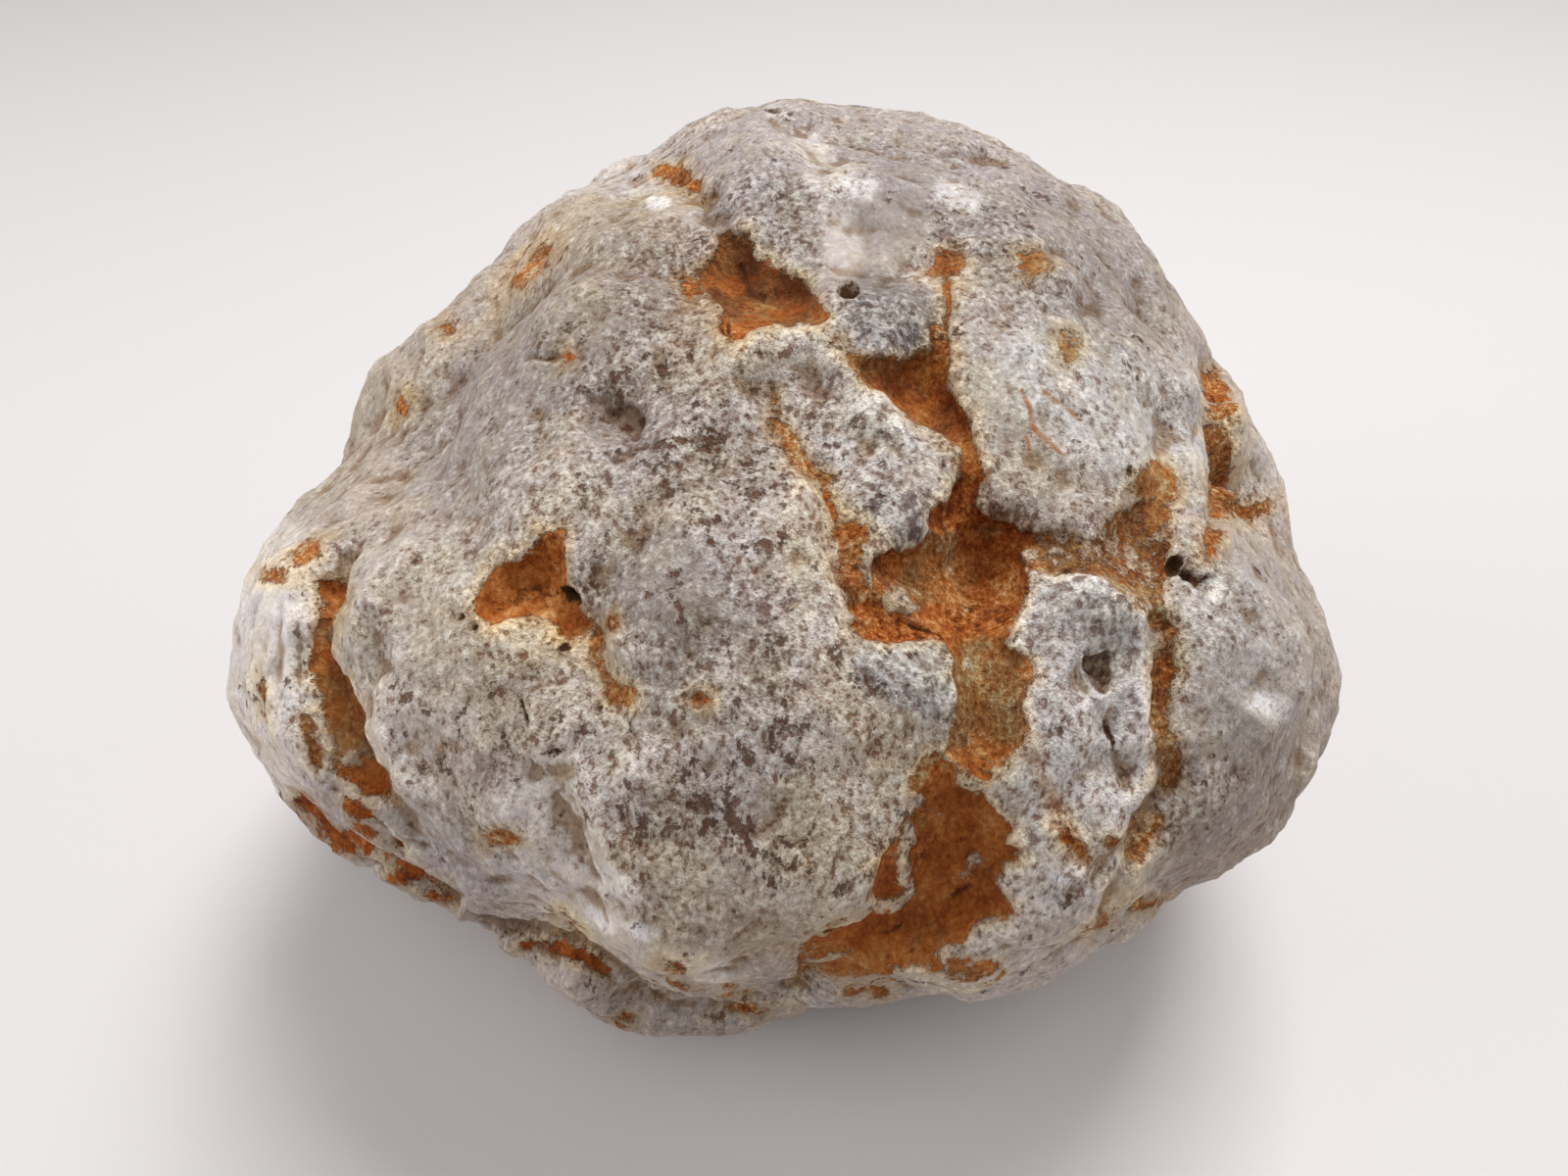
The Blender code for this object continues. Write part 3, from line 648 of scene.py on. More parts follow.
# %% Clay all round
RAGGED = 0.9               # mm that a clay edge wanders
CLAY_RANGE = (-5.0, 6.0)   # mm, which is all that the material needs
AWAY = (0.04, -0.16)       # facing between which clay thins out on what turns away
AWAY_LOSS = 1.6            # mm that it gets narrower there
GRAZING = (0.22, 0.02)     # facing between which it breaks up
BREAKUP = 0.3              # mm that it gets narrower there, give or take the noise
MOST_BREAKUP = 3.0         # mm
CREST = (22.0, 8.0)        # mm nearer the eye than the middle, where the top turns away
CREST_UP = (45.0, 58.0)    # mm up the plan where that crest lies
CREST_LOSS = 4.0           # mm that clay gets narrower beyond the crest

clay, pan_depth = clay_on_plan(places + wander * RAGGED)
hidden_clay = (lowness - HOLLOW_LEVEL + broad + middling * 0.4) * HOLLOW_GAIN
clay = np.clip(clay, *CLAY_RANGE) * seen + np.clip(hidden_clay, *CLAY_RANGE) * (1.0 - seen)
clay += middling * 0.4 + finest * 0.15
clay -= (AWAY_LOSS + middling * 2.0) * smooth_step(*AWAY, best_facing) * seen
breakup = np.clip(BREAKUP + middling * 1.5 + fine * 3.0, 0.0, MOST_BREAKUP)
breakup *= smooth_step(*GRAZING, best_facing) * seen
clay -= breakup
forward = (skin - MIDDLE) @ TOWARDS_EYE + middling * 8.0
beyond_crest = smooth_step(*CREST, forward) * smooth_step(*CREST_UP, places[:, 1])
clay -= CREST_LOSS * beyond_crest * seen
print("clay on", round(float((clay > 0).mean()) * 100, 1), "% of the skin")

# %% How deep clay and holes lie
HIDDEN_DEPTH = 0.6         # mm that the clay of the hidden sides lies low
CLAY_BANK = (-0.6, 1.6)    # mm inside the clay between which its bed drops
HOLE_RAGGED = 0.45         # mm that the edge of a hole wanders
NO_MARK = -3.0             # mm, for no holes or seams where the plan doesn't reach
DENT_FADE = (1.2, 0.0)     # mm of breakup between which a dent comes to its full depth

pan_depth = pan_depth * seen + HIDDEN_DEPTH * (1.0 - seen)
sink = pan_depth * smooth_step(*CLAY_BANK, clay)
hollow, dent = hollow_on_plan(places + wander * HOLE_RAGGED)
hollow = (hollow - breakup) * seen + NO_MARK * (1.0 - seen)
dent *= seen * smooth_step(*DENT_FADE, breakup)
print("clay beds sink up to", round(float(sink.max()), 2), "mm")

# %% [markdown]
# ## Shaping the skin
# A Displace modifier moves each point along its normal, as far as a painted weight says.
# That dents the clay beds, holes and cracks.  Three more, with a texture each, raise the
# crust's lumps, knobs and grains.  The spot that the stone rests on stays flat, because
# every weight fades out there.


# %% Weights and displacement
def paint_weight(piece, name, weights):
    """Stores an array of 0 to 1 as a vertex group."""
    group = piece.vertex_groups.new(name=name)
    for index, weight in enumerate(weights.tolist()):
        if weight > 0.001:
            group.add((index,), weight, "REPLACE")


def push(piece, weight_name, strength, texture=None, middle=0.0):
    """Displaces a piece along its normals by strength, in mm, times a painted weight."""
    pick_only(piece)
    bpy.ops.object.modifier_add(type="DISPLACE")
    pusher = piece.modifiers[-1]
    pusher.vertex_group = weight_name
    pusher.strength = strength * MM
    pusher.mid_level = middle
    if texture is not None:
        pusher.texture = texture
        pusher.texture_coords = "LOCAL"
    bpy.ops.object.modifier_apply(modifier=pusher.name)


# %% Dent and roughen the skin
FLOOR_FADE = (0.3, 3.0)    # mm over the floor between which the relief starts
BARE_EDGE = (-0.5, 0.6)    # mm inside the clay between which the crust ends
SEAM_RAGGED = 0.5          # mm that a seam wanders
SEAM_DEPTH = 0.35          # mm
SEAM_FACE = (-0.4, 0.3)    # mm inside a seam between which it drops
IN_CLAY = (-0.3, 0.8)      # mm inside the clay between which seams start to be dented
CRUST_UNDER_CLAY = 0.25    # share of the crust's relief that shows through the clay
MIDDLE_GREY = 0.5          # the grey of a texture that moves nothing
RELIEF = {  # name: (kind of texture, lump size in mm, height in mm)
    "lumps": ("CLOUDS", 8.0, 2.0),
    "knobs": ("VORONOI", 4.0, -0.45),
    "grains": ("CLOUDS", 1.9, 0.5),
}

off_floor = smooth_step(*FLOOR_FADE, skin[:, 2])
bare = 1.0 - smooth_step(*BARE_EDGE, clay)
seams = seam_on_plan(places + wander * SEAM_RAGGED) * seen + NO_MARK * (1.0 - seen)
dent += SEAM_DEPTH * smooth_step(*SEAM_FACE, seams) * smooth_step(*IN_CLAY, clay)
depth_down = (sink + dent) * off_floor
deepest = float(depth_down.max())
paint_weight(stone, "down", depth_down / deepest)
paint_weight(stone, "crust", (CRUST_UNDER_CLAY + (1.0 - CRUST_UNDER_CLAY) * bare) * off_floor)
push(stone, "down", -deepest)
for texture_name, (kind, lump_size, height) in RELIEF.items():
    texture = bpy.data.textures.new(texture_name, kind)
    texture.noise_scale = lump_size * MM
    push(stone, "crust", height, texture, MIDDLE_GREY)
print("dented up to", round(deepest, 2), "mm")

# %% How low each point lies beside its near neighbours
CAVITY_ROUNDS = 14

shaped_skin = points_of(stone)
shaped_normals = normals_of(stone)
softened = relaxed_copy(stone, CAVITY_ROUNDS)
cavity = ((points_of(softened) - shaped_skin) * shaped_normals).sum(axis=1)
bpy.data.objects.remove(softened)
print("cavities at 1, 50 and 99 %:", np.round(np.percentile(cavity, [1, 50, 99]), 2).tolist(), "mm")

# %% [markdown]
# ## Colours of crust and clay
# The crust is painted with soft brush strokes over a warm grey ground: chalky where the
# quartz grains are thick, lavender and smoky where the clear chalcedony shows, cream and
# umber where clay water stained it.  Strokes of smoke and umber under the knob above the
# middle and under the lip of the upper right lobe are painted shadow.  A stroke is a line
# on the plan with a width.

# %% Pigments and brush strokes
PIGMENTS = {
    "ground": (0.41, 0.345, 0.29),
    "snow": (0.82, 0.79, 0.76),
    "chalk": (0.62, 0.56, 0.51),
    "lavender": (0.38, 0.33, 0.315),
    "smoke": (0.22, 0.19, 0.17),
    "bluish": (0.36, 0.365, 0.36),
    "frost": (0.52, 0.52, 0.50),
    "cream": (0.50, 0.40, 0.28),
    "umber": (0.20, 0.120, 0.080),
    "rust": (0.36, 0.185, 0.085),
}

# (pigment, strength, half width, points)
STROKES = [
    ("lavender", 0.7, 16, [(-6, 68), (10, 70), (30, 66)]),
    ("smoke", 0.35, 9, [(-8, 60), (2, 58), (4, 52)]), ("smoke", 0.35, 8, [(18, 58), (26, 54)]),
    ("lavender", 0.5, 14, [(44, 52), (36, 62)]), ("chalk", 0.2, 12, [(46, 30), (58, 26)]),
    ("lavender", 0.45, 8, [(16, 56), (20, 60)]), ("chalk", 0.75, 3.5, [(4, 68), (8, 60), (9, 51)]),
    ("chalk", 0.8, 2.5, [(9, 63), (13, 61)]), ("chalk", 0.55, 2.5, [(25, 60.5), (29, 59)]),
    ("cream", 0.3, 16, [(-58, 22), (-42, 30), (-26, 46)]), ("cream", 0.4, 10, [(-34, 50), (-20, 60)]),
    ("chalk", 0.6, 3, [(-26, 62.5), (-21, 62)]), ("cream", 0.4, 12, [(-12, 36), (-2, 30)]),
    ("umber", 0.25, 12, [(-20, 46), (-26, 32), (-12, 22)]),
    ("umber", 1.0, 3.2, [(-28, 27), (-23, 26), (-22.3, 23.5)]),
    ("umber", 0.35, 6, [(-10, 47), (-14, 50), (-13, 42)]), ("cream", 0.3, 12, [(-14, 16), (0, 10)]),
    ("smoke", 0.7, 9, [(-20, 2), (-14, -2)]), ("lavender", 0.5, 9, [(-8, 4), (-6, -8)]),
    ("chalk", 1.0, 9, [(-78, 4), (-82, -12), (-76, -26)]), ("snow", 0.4, 6, [(-79, -2), (-79, -18)]),
    ("chalk", 0.4, 14, [(-56, -4), (-52, -22)]), ("cream", 0.45, 9, [(-60, -8), (-38, -14)]),
    ("cream", 0.95, 5.5, [(-45, -7.5), (-35, -9)]), ("cream", 0.35, 12, [(-24, -14), (-4, -12)]),
    ("chalk", 0.3, 16, [(-24, -24), (-4, -30), (8, -40)]), ("chalk", 0.6, 10, [(-62, -12), (-58, -24)]),
    ("umber", 0.3, 7, [(-20, -35), (-14, -34)]), ("umber", 0.35, 5, [(-4, -41), (2, -41)]),
    ("chalk", 0.55, 6, [(-30, -48), (-22, -57), (-10, -60)]),
    ("chalk", 0.75, 10, [(-34, -30), (-38, -42)]),
    ("chalk", 0.95, 1.6, [(-29, -49.5), (-27, -51), (-22, -53)]),
    ("chalk", 0.6, 8, [(6, -12), (12, -20), (16, -32)]),
    # The smoke stroke here, under the knob, is painted shadow.
    ("cream", 0.7, 7, [(8, -14), (14, -18), (18, -28)]), ("smoke", 0.8, 8, [(16, 42), (14, 38)]),
    ("chalk", 0.4, 9, [(6, 34), (14, 24)]), ("lavender", 0.5, 7, [(16, 24), (20, 16)]),
    ("bluish", 0.4, 5, [(16, 12), (20, 9)]), ("bluish", 0.6, 7, [(15, -12), (21, -14)]),
    ("chalk", 0.95, 13, [(46, -4), (48, -20), (46, -30)]), ("bluish", 0.35, 12, [(42, -6), (44, -22)]),
    ("lavender", 0.35, 10, [(46, -4), (48, -14)]), ("bluish", 0.4, 4, [(40, 0), (50, -2), (54, -8)]),
    ("chalk", 0.35, 8, [(70, 24), (73, 16)]), ("cream", 0.5, 3, [(68, 26), (70, 24)]),
    ("umber", 0.3, 9, [(76, -24), (70, -38), (60, -46)]), ("chalk", 0.4, 10, [(38, -42), (50, -44)]),
    ("chalk", 0.35, 8, [(26, -60), (44, -56)]),
    ("lavender", 0.6, 8, [(-40, -60), (-20, -66), (4, -65)]),
    ("umber", 0.35, 7, [(-72, -36), (-58, -45), (-44, -54)]),
    # Painted shadow under the overhanging lip of the upper right lobe.
    ("umber", 0.8, 2.4, [(30.5, 13), (33, 11.3), (38, 9.8)]),
    ("umber", 0.7, 2.2, [(47.5, -12), (49, -14)]),
    ("rust", 0.6, 1.7, [(38, -26), (42, -34), (44, -40), (46, -42)]),
    ("frost", 0.5, 12, [(42, 33), (55, 26)]), ("smoke", 0.35, 12, [(-50, 22), (-36, 34), (-24, 48)]),
    ("lavender", 0.3, 10, [(-50, 18), (-40, 30)]), ("smoke", 0.3, 10, [(-18, -10), (-6, -12)]),
    ("umber", 0.4, 6, [(16, 13), (20, 8)]), ("umber", 0.1, 9, [(-22, -36), (-12, -33)]),
    ("cream", 0.45, 12, [(-24, -46), (-8, -50), (6, -42), (12, -28)]),
    ("cream", 0.35, 14, [(-58, -8), (-44, -20)]), ("bluish", 0.4, 8, [(12, 22), (17, 27)]),
    ("chalk", 0.5, 6, [(12, 22), (16, 26)]), ("bluish", 0.3, 12, [(68, -4), (72, -16)]),
    ("bluish", 0.25, 9, [(-66, -34), (-56, -42)]), ("smoke", 0.9, 1.6, [(62.3, 2), (64.8, 0.6)]),
    # The smoke stroke here, under the knob, is painted shadow.
    ("lavender", 0.7, 8, [(-66, -34), (-46, -45)]), ("smoke", 0.4, 6, [(12, 43), (18, 40)]),
    ("smoke", 0.45, 4, [(16, 12), (20, 8)]), ("umber", 0.2, 9, [(-18, -52), (-2, -54)]),
    ("smoke", 0.3, 6, [(-26, -64), (-12, -66)]), ("smoke", 0.3, 7, [(66, -34), (74, -28)]),
    ("smoke", 0.25, 8, [(14, 64), (26, 62)]), ("smoke", 0.22, 12, [(-50, 22), (-36, 34), (-24, 48)]),
    ("smoke", 0.45, 11, [(36, 54), (52, 44)]), ("lavender", 0.3, 12, [(-22, 24), (-6, 24)]),
    ("umber", 0.35, 3.5, [(-52, -28), (-43, -27)]), ("umber", 0.25, 5, [(40, 5), (54, 5), (56, 12)]),
    ("smoke", 0.22, 12, [(46, -2), (48, -14)]), ("smoke", 0.25, 6, [(15, -12), (21, -14)]),
    # The first smoke stroke here, under the knob, is painted shadow.
    ("smoke", 0.9, 5, [(15, 43), (19, 40)]), ("smoke", 0.6, 5, [(16, 13), (20, 8)]),
    ("smoke", 0.12, 14, [(-20, 24), (-20, 0)]), ("smoke", 0.12, 12, [(-48, 24), (-40, 34)]),
    ("smoke", 0.28, 12, [(-22, 28), (-8, 20)]), ("smoke", 0.18, 12, [(-58, -6), (-46, -18)]),
    # The second smoke stroke here, under the knob, is painted shadow.
    ("smoke", 0.15, 9, [(-22, 2), (-14, -4)]), ("smoke", 0.5, 5, [(14, 44), (19, 41)]),
    ("smoke", 0.2, 5, [(16, 12), (20, 8)]), ("umber", 0.4, 2.5, [(-11, -20), (-13, -18)]),
    ("snow", 1.0, 1.5, [(66.3, 0.3), (66, -1.0)]), ("snow", 0.9, 2.6, [(72.5, -17.5), (75, -18.5)]),
    ("snow", 0.9, 1.6, [(42, -44.5), (45, -43.5)]), ("snow", 0.8, 1.8, [(-29, -50), (-27, -51)]),
    ("snow", 0.8, 1.8, [(-23, -52.5), (-21, -53)]), ("snow", 0.35, 1.8, [(-26, 62.6), (-23, 62)]),
    ("snow", 0.8, 1.2, [(-20, 59), (-18.5, 59)]), ("snow", 0.45, 2.0, [(10, 62), (13, 61)]),
    ("snow", 0.45, 2.2, [(25, 60.5), (28.5, 59)]), ("snow", 0.5, 1.4, [(-2, 73), (0, 73)]),
    ("snow", 0.5, 2.5, [(-27, -44), (-24, -47)]), ("snow", 0.4, 2.5, [(-16, -57), (-10, -59)]),
    ("cream", 0.6, 2.0, [(69, 26), (69, 22)]), ("chalk", 0.25, 9, [(40, -2), (44, -16)]),
    ("chalk", 0.45, 8, [(-38, -36), (-34, -46)]),
]
print(len(STROKES), "strokes of", len(PIGMENTS), "pigments")

# %% Lay the strokes
SOFT_EDGE = (0.45, 1.15)   # shares of its half width between which a stroke fades
UNEVEN_FROM = 9.0          # mm of half width from which a stroke is fully uneven
PAINTED = (-0.30, 0.06)    # facing between which the strokes start to show
PAST_CREST = 0.9           # share of them that is lost beyond the crest


def stroke_cover(line, half_width, strength):
    """How much a brush stroke covers each point: full inside, soft and uneven outside."""
    unevenness = min(1.0, half_width / UNEVEN_FROM)
    distance = distance_to_line(places, line) + (middling * 2.5 + fine * 0.8) * unevenness
    full, gone = [share * half_width for share in SOFT_EDGE]
    return strength * (1.0 - smooth_step(full, gone, distance))


def mix_in(colours, pigment, cover):
    """Mixes a pigment into an array of colours."""
    return colours + (np.array(PIGMENTS[pigment]) - colours) * np.clip(cover, 0.0, 1.0)[:, None]


painted = smooth_step(*PAINTED, best_facing + middling * 0.10)
painted *= 1.0 - PAST_CREST * beyond_crest
tint = np.tile(np.array(PIGMENTS["ground"]), (len(skin), 1))
for pigment, strength, half_width, line in STROKES:
    tint = mix_in(tint, pigment, stroke_cover(line, half_width, strength) * painted)
print("the tint is", tint.mean(axis=0).round(2).tolist(), "on average")

# %% [markdown]
# The hidden sides get the same pigments by rule: chalk and lavender in broad patches, and
# umber low down and in the hollows, so that they are darker and browner there.

# %% Paint the hidden sides
LOW_DOWN = (48.0, 8.0)     # mm over the floor between which the stone gets browner
IN_HOLLOWS = (0.2, 1.4)    # mm under the relaxed copy between which it does too

unseen = 1.0 - painted
patch_a = noise_at(30.0, 4.0)
patch_b = noise_at(19.0, 5.0)
patch_c = noise_at(13.0, 6.0)
low_down = smooth_step(*LOW_DOWN, skin[:, 2] + patch_b * 14.0)
for pigment, strength, cover in [
    ("chalk", 0.75, smooth_step(-0.1, 0.5, patch_a)),
    ("lavender", 0.7, smooth_step(0.0, 0.45, patch_b)),
    ("cream", 0.5, smooth_step(0.1, 0.5, patch_c)),
    ("umber", 0.5, low_down),
    ("umber", 0.6, smooth_step(*IN_HOLLOWS, lowness)),
]:
    tint = mix_in(tint, pigment, unseen * strength * cover)
print("hidden:", round(float(unseen.mean()) * 100), "% of the skin")

# %% Where the crust is pitted: (amount, half width, points)
SPECK_STROKES = [
    (0.9, 9, [(-20, -34), (-14, -33)]), (1.0, 6, [(-2, -42), (2, -40)]),
    (0.6, 5, [(-12, -19), (-10, -17)]), (0.5, 8, [(-50, -27), (-43, -27)]),
    (0.45, 16, [(-30, -26), (-4, -26), (6, -36)]), (0.5, 12, [(-26, 30), (-12, 22), (-4, 12)]),
    (0.4, 14, [(-50, -18), (-40, -24)]), (0.45, 12, [(8, 20), (0, 4), (6, -6)]),
    (0.35, 16, [(-30, 44), (-14, 34)]), (0.35, 8, [(30, 64), (44, 52)]),
    (0.4, 8, [(18, -14), (20, -18)]), (0.9, 2.0, [(62, 2), (65, 0.5)]),
    (0.8, 3, [(19, -36), (18, -44), (15, -49)]), (0.5, 6, [(-22, 4), (-16, 0)]),
]
print(len(SPECK_STROKES), "pitted places")

# %% Where it is lacy, without dirt between its grains: (amount, half width, points)
LACE_STROKES = [
    (1.0, 8, [(16, 12), (20, 8)]), (1.0, 8, [(15, -12), (21, -14)]),
    (0.9, 11, [(40, 0), (50, -4), (52, -24)]), (0.8, 9, [(8, 30), (16, 24)]),
    (0.6, 12, [(-8, -6), (2, 0), (-4, -16)]), (0.8, 8, [(16, 41), (18, 38)]),
    (0.5, 20, [(-50, 20), (-30, 10)]), (0.7, 10, [(40, -38), (36, -54)]),
    (0.5, 14, [(40, 26), (56, 30)]), (1.0, 3, [(19.5, -36), (18, -44), (15, -49)]),
]
print(len(LACE_STROKES), "lacy places")

# %% Where it is smooth: (amount, half width, points)
SMOOTH_STROKES = [
    (0.9, 8, [(12, 52), (16, 58)]), (0.6, 8, [(-20, 2), (-16, -2)]),
    (0.8, 6, [(-32, -48), (-24, -56), (-8, -61)]), (0.7, 5, [(-42, -58), (-20, -66), (2, -67)]),
    (0.6, 13, [(-56, 16), (-48, 28), (-36, 42)]), (0.5, 9, [(-38, -34), (-36, -42)]),
    (0.7, 10, [(72, -14), (70, -22)]), (0.4, 10, [(44, 20), (34, 34)]),
    (0.8, 3, [(-28, 27), (-23, 26)]), (0.6, 8, [(-66, -34), (-46, -45)]),
    (0.35, 14, [(-62, -4), (-52, -20)]), (0.5, 8, [(-34, 54), (-24, 58)]),
    (0.9, 8, [(-80, 0), (-82, -14)]),
]
print(len(SMOOTH_STROKES), "smooth places")

# %% Where the clay is fine powder: (amount, half width, points)
POWDER_STROKES = [
    (0.9, 9, [(-44, 0), (-34, 0)]), (0.9, 6, [(-70, -2), (-68, -16), (-64, -28)]),
    (1.0, 14, [(30, -36), (28, -50), (14, -54)]), (1.0, 9, [(4, 44), (-6, 46)]),
    (1.0, 8, [(-60, -41), (-70, -37)]), (1.0, 6, [(-38, -55), (-28, -58)]),
    (0.8, 7, [(18, 33), (27, 24)]), (0.6, 8, [(31, -10), (31, -28)]), (0.5, 9, [(22, 2), (32, 4)]),
    (0.9, 4, [(38, 49.8), (38.5, 49.8)]), (0.9, 4, [(43.5, 36), (43.5, 35)]),
    (0.8, 5, [(56, 16), (57, 18)]), (0.6, 7, [(40, 5), (56, 4), (55, 12)]),
    (0.7, 4, [(24.8, 49.5), (25, 44)]),
]
print(len(POWDER_STROKES), "powdery places")

# %% Lay these places
SLOPING = (0.80, 0.30)     # facing between which the skin looks smoother


def strokes_over(strokes, ground):
    """The highest cover of several strokes, over a ground value."""
    cover = ground.copy()
    for amount, half_width, line in strokes:
        cover = np.maximum(cover, stroke_cover(line, half_width, amount) * painted)
    return np.clip(cover, 0.0, 1.0)


hidden_smoothness = 0.3 + 0.5 * smooth_step(0.15, 0.5, patch_a)
sloping = 0.70 * smooth_step(*SLOPING, facing) * painted
specks = strokes_over(SPECK_STROKES, 0.12 + unseen * 0.5 * smooth_step(0.0, 0.5, patch_b))
lace = strokes_over(LACE_STROKES, 0.35 + unseen * 0.4 * smooth_step(-0.2, 0.4, patch_c))
powder = strokes_over(POWDER_STROKES, 0.3 + 0.4 * unseen)
smoothness = strokes_over(SMOOTH_STROKES, sloping + unseen * hidden_smoothness)
print("on average:", {"specks": specks.mean().round(2), "lace": lace.mean().round(2),
                      "smoothness": smoothness.mean().round(2), "powder": powder.mean().round(2)})

# %% Bright and dark clay: (tone, half width, points)
CLAY_TONES = [
    (0.8, 3.5, [(12, -5.5), (18, -6), (23, -6.5)]), (1.1, 3.5, [(-9, 39.5), (-7, 38.5)]),
    # The first tone here darkens the upper pan: partly the clay's own dark rust, partly painted shade
    # in its hollow.
    (-0.35, 6, [(-8, 53), (-4, 47), (2, 45)]), (0.0, 3, [(-9, 50), (-9, 45)]),
    (0.15, 3, [(-4, 42.5), (4, 42)]), (0.85, 2, [(0, 25), (6, 16.5)]), (0.6, 6, [(-40, 3), (-34, 4)]),
    (0.8, 3.5, [(-44, -3), (-36, -3.5)]), (0.5, 3, [(-33, -5.5), (-31, -6.5)]),
    (0.3, 3, [(-47, 0), (-46, -3)]), (0.8, 4, [(21, -29), (24, -30)]),
    (0.35, 5, [(14, 34), (24, 30), (27, 25)]), (0.55, 3, [(10, 37), (14, 31), (18, 27.5)]),
    # The first tone here, dark clay under the lip of the upper right lobe, is painted shadow.
    (0.1, 4, [(28, 14), (31, 9), (42, 9)]), (0.66, 6, [(31, -12), (30, -26)]),
    (0.56, 6, [(30, 4), (20, 2), (30, -6)]), (0.38, 9, [(30, -34), (31, -48)]),
    (0.5, 5, [(8, -54), (26, -51)]), (0.7, 3, [(18, -57), (23, -57)]),
    (0.65, 3, [(25, 40), (24.5, 50)]), (0.7, 4, [(-70, -2), (-70, -12)]),
    (0.5, 5, [(-68, -17), (-64, -28)]), (0.8, 2, [(-61, -29), (-63, -27)]),
    (0.85, 4, [(-39, 48.5), (-38, 49)]), (0.8, 5, [(-75, 4), (-78, 2)]),
    (0.2, 8, [(-73, -34), (-60, -42), (-35, -55)]), (-0.1, 6, [(44, 6), (56, 6)]),
    (0.6, 3, [(-73, -21), (-71, -26)]), (0.75, 3, [(38, 49.8), (38.5, 49.8)]),
    (0.65, 3, [(43.5, 36), (43.5, 37)]), (0.7, 5, [(56, 16), (57, 18)]),
    (0.22, 4, [(25, 29), (28.5, 22), (28.5, 18)]), (0.3, 3, [(24.8, 49.5), (25, 48)]),
    (0.62, 1.5, [(12, -56), (22, -52), (30, -47)]), (0.22, 1.2, [(16, -53), (24, -50), (31, -44.5)]),
    (0.58, 2, [(26, -38), (29, -36)]), (0.66, 1.5, [(20, -57), (26, -55), (33, -50)]),
]
print(len(CLAY_TONES), "tones of clay")

# %% Where it is ochre: (amount, half width, points)
OCHRE_STROKES = [
    (0.7, 7, [(-9, 51), (-4, 46), (3, 44)]), (0.9, 7, [(14, 34), (24, 30), (27, 24)]),
    (0.9, 7, [(31, -12), (30, -28)]), (0.7, 5, [(28, -22), (34, -27)]),
    (1.0, 8, [(44, 5), (54, 4), (55, -2)]), (1.0, 6, [(56, 16), (57, 18)]),
    (0.45, 9, [(27, -36), (29, -42), (24, -50)]), (1.0, 5, [(38, 49.8), (43.5, 36)]),
    (0.6, 6, [(24, 4), (32, 0)]), (0.9, 3, [(-13, -17), (-12, -17)]),
    (0.9, 3, [(10, 36.5), (14, 31), (18, 27.5)]), (0.7, 3, [(-4, 43), (4, 42)]),
    (0.25, 4, [(-46, -1), (-40, -4), (-36, -4.5)]), (0.25, 5, [(-72, -10), (-66, -26)]),
    (0.8, 4, [(4, -58), (14, -59)]), (0.8, 4, [(-26, -15), (-24, -17)]),
    (0.6, 3, [(58, -8), (58, -28)]),
]
print(len(OCHRE_STROKES), "ochre places")

# %% Where it is rusty: (amount, half width, points)
RUST_STROKES = [
    (1.0, 4, [(10, -5), (18, -5.5), (26, -6)]), (1.0, 4, [(-10, 38), (-6, 38)]),
    (0.3, 5, [(6, 40), (24, 28)]), (0.8, 3, [(24, -29), (22, -33)]), (0.7, 4, [(26, 12), (40, 10)]),
    (0.6, 3, [(-62, -29), (-66, -31)]), (0.7, 12, [(31, -34), (30, -48), (14, -54)]),
    (1.0, 8, [(-73, -34), (-60, -42), (-35, -55)]), (0.8, 5, [(34, 4), (32, -4)]),
    (0.8, 8, [(-42, -1), (-34, 3)]),
]
print(len(RUST_STROKES), "rusty places")

# %% Tone the clay
TONE_RANGE = (-0.5, 1.0)

clay_tone = 0.5 + broad * 0.25 + middling * 0.15
for amount, half_width, line in CLAY_TONES:
    clay_tone += (amount - clay_tone) * stroke_cover(line, half_width, 1.0) * painted
ochre = strokes_over(OCHRE_STROKES, 0.1 + 0.5 * smooth_step(0.1, 0.5, patch_c) * unseen)
rust = strokes_over(RUST_STROKES, np.zeros(len(skin)))
clay_tone = np.clip(clay_tone, *TONE_RANGE)
print("clay tones run from", clay_tone.min().round(2), "to", clay_tone.max().round(2))


# %% Store what the material reads
def store(name, values):
    """Keeps an array on the stone's points, as a number or a colour for each."""
    if values.ndim == 1:
        attribute = stone.data.attributes.new(name, "FLOAT", "POINT")
        attribute.data.foreach_set("value", values.astype(np.float32))
    else:
        attribute = stone.data.attributes.new(name, "FLOAT_COLOR", "POINT")
        opaque = np.ones((len(values), 1))
        attribute.data.foreach_set("color", np.hstack([values, opaque]).astype(np.float32).ravel())


for name, values in {
    "clay": clay, "clay_tone": clay_tone, "ochre": ochre, "rust": rust, "specks": specks,
    "lace": lace, "smoothness": smoothness, "powder": powder, "seams": seams,
    "hollow": hollow, "cavity": cavity, "tint": tint,
}.items():
    store(name, values)
print("stored:", [attribute.name for attribute in stone.data.attributes])

# %% [markdown]
# ## Node helpers
# A material is a graph of nodes.  These helpers add one node each and return its output,
# so that the materials below read like sums.


# %% Sums and mixes
def feed(tree, source, socket):
    """Links a socket to another node's output, or sets it to a plain value."""
    if isinstance(source, bpy.types.NodeSocket):
        tree.links.new(source, socket)
    else:
        socket.default_value = source


def maths(tree, operation, first, second):
    """A sum of two numbers."""
    step = tree.nodes.new("ShaderNodeMath")
    step.operation = operation
    feed(tree, first, step.inputs[0])
    feed(tree, second, step.inputs[1])
    return step.outputs[0]


def vector_maths(tree, operation, first, second):
    """A sum of two vectors."""
    step = tree.nodes.new("ShaderNodeVectorMath")
    step.operation = operation
    feed(tree, first, step.inputs[0])
    if operation == "SCALE":
        feed(tree, second, step.inputs["Scale"])
    else:
        feed(tree, second, step.inputs[1])
    return step.outputs[0]


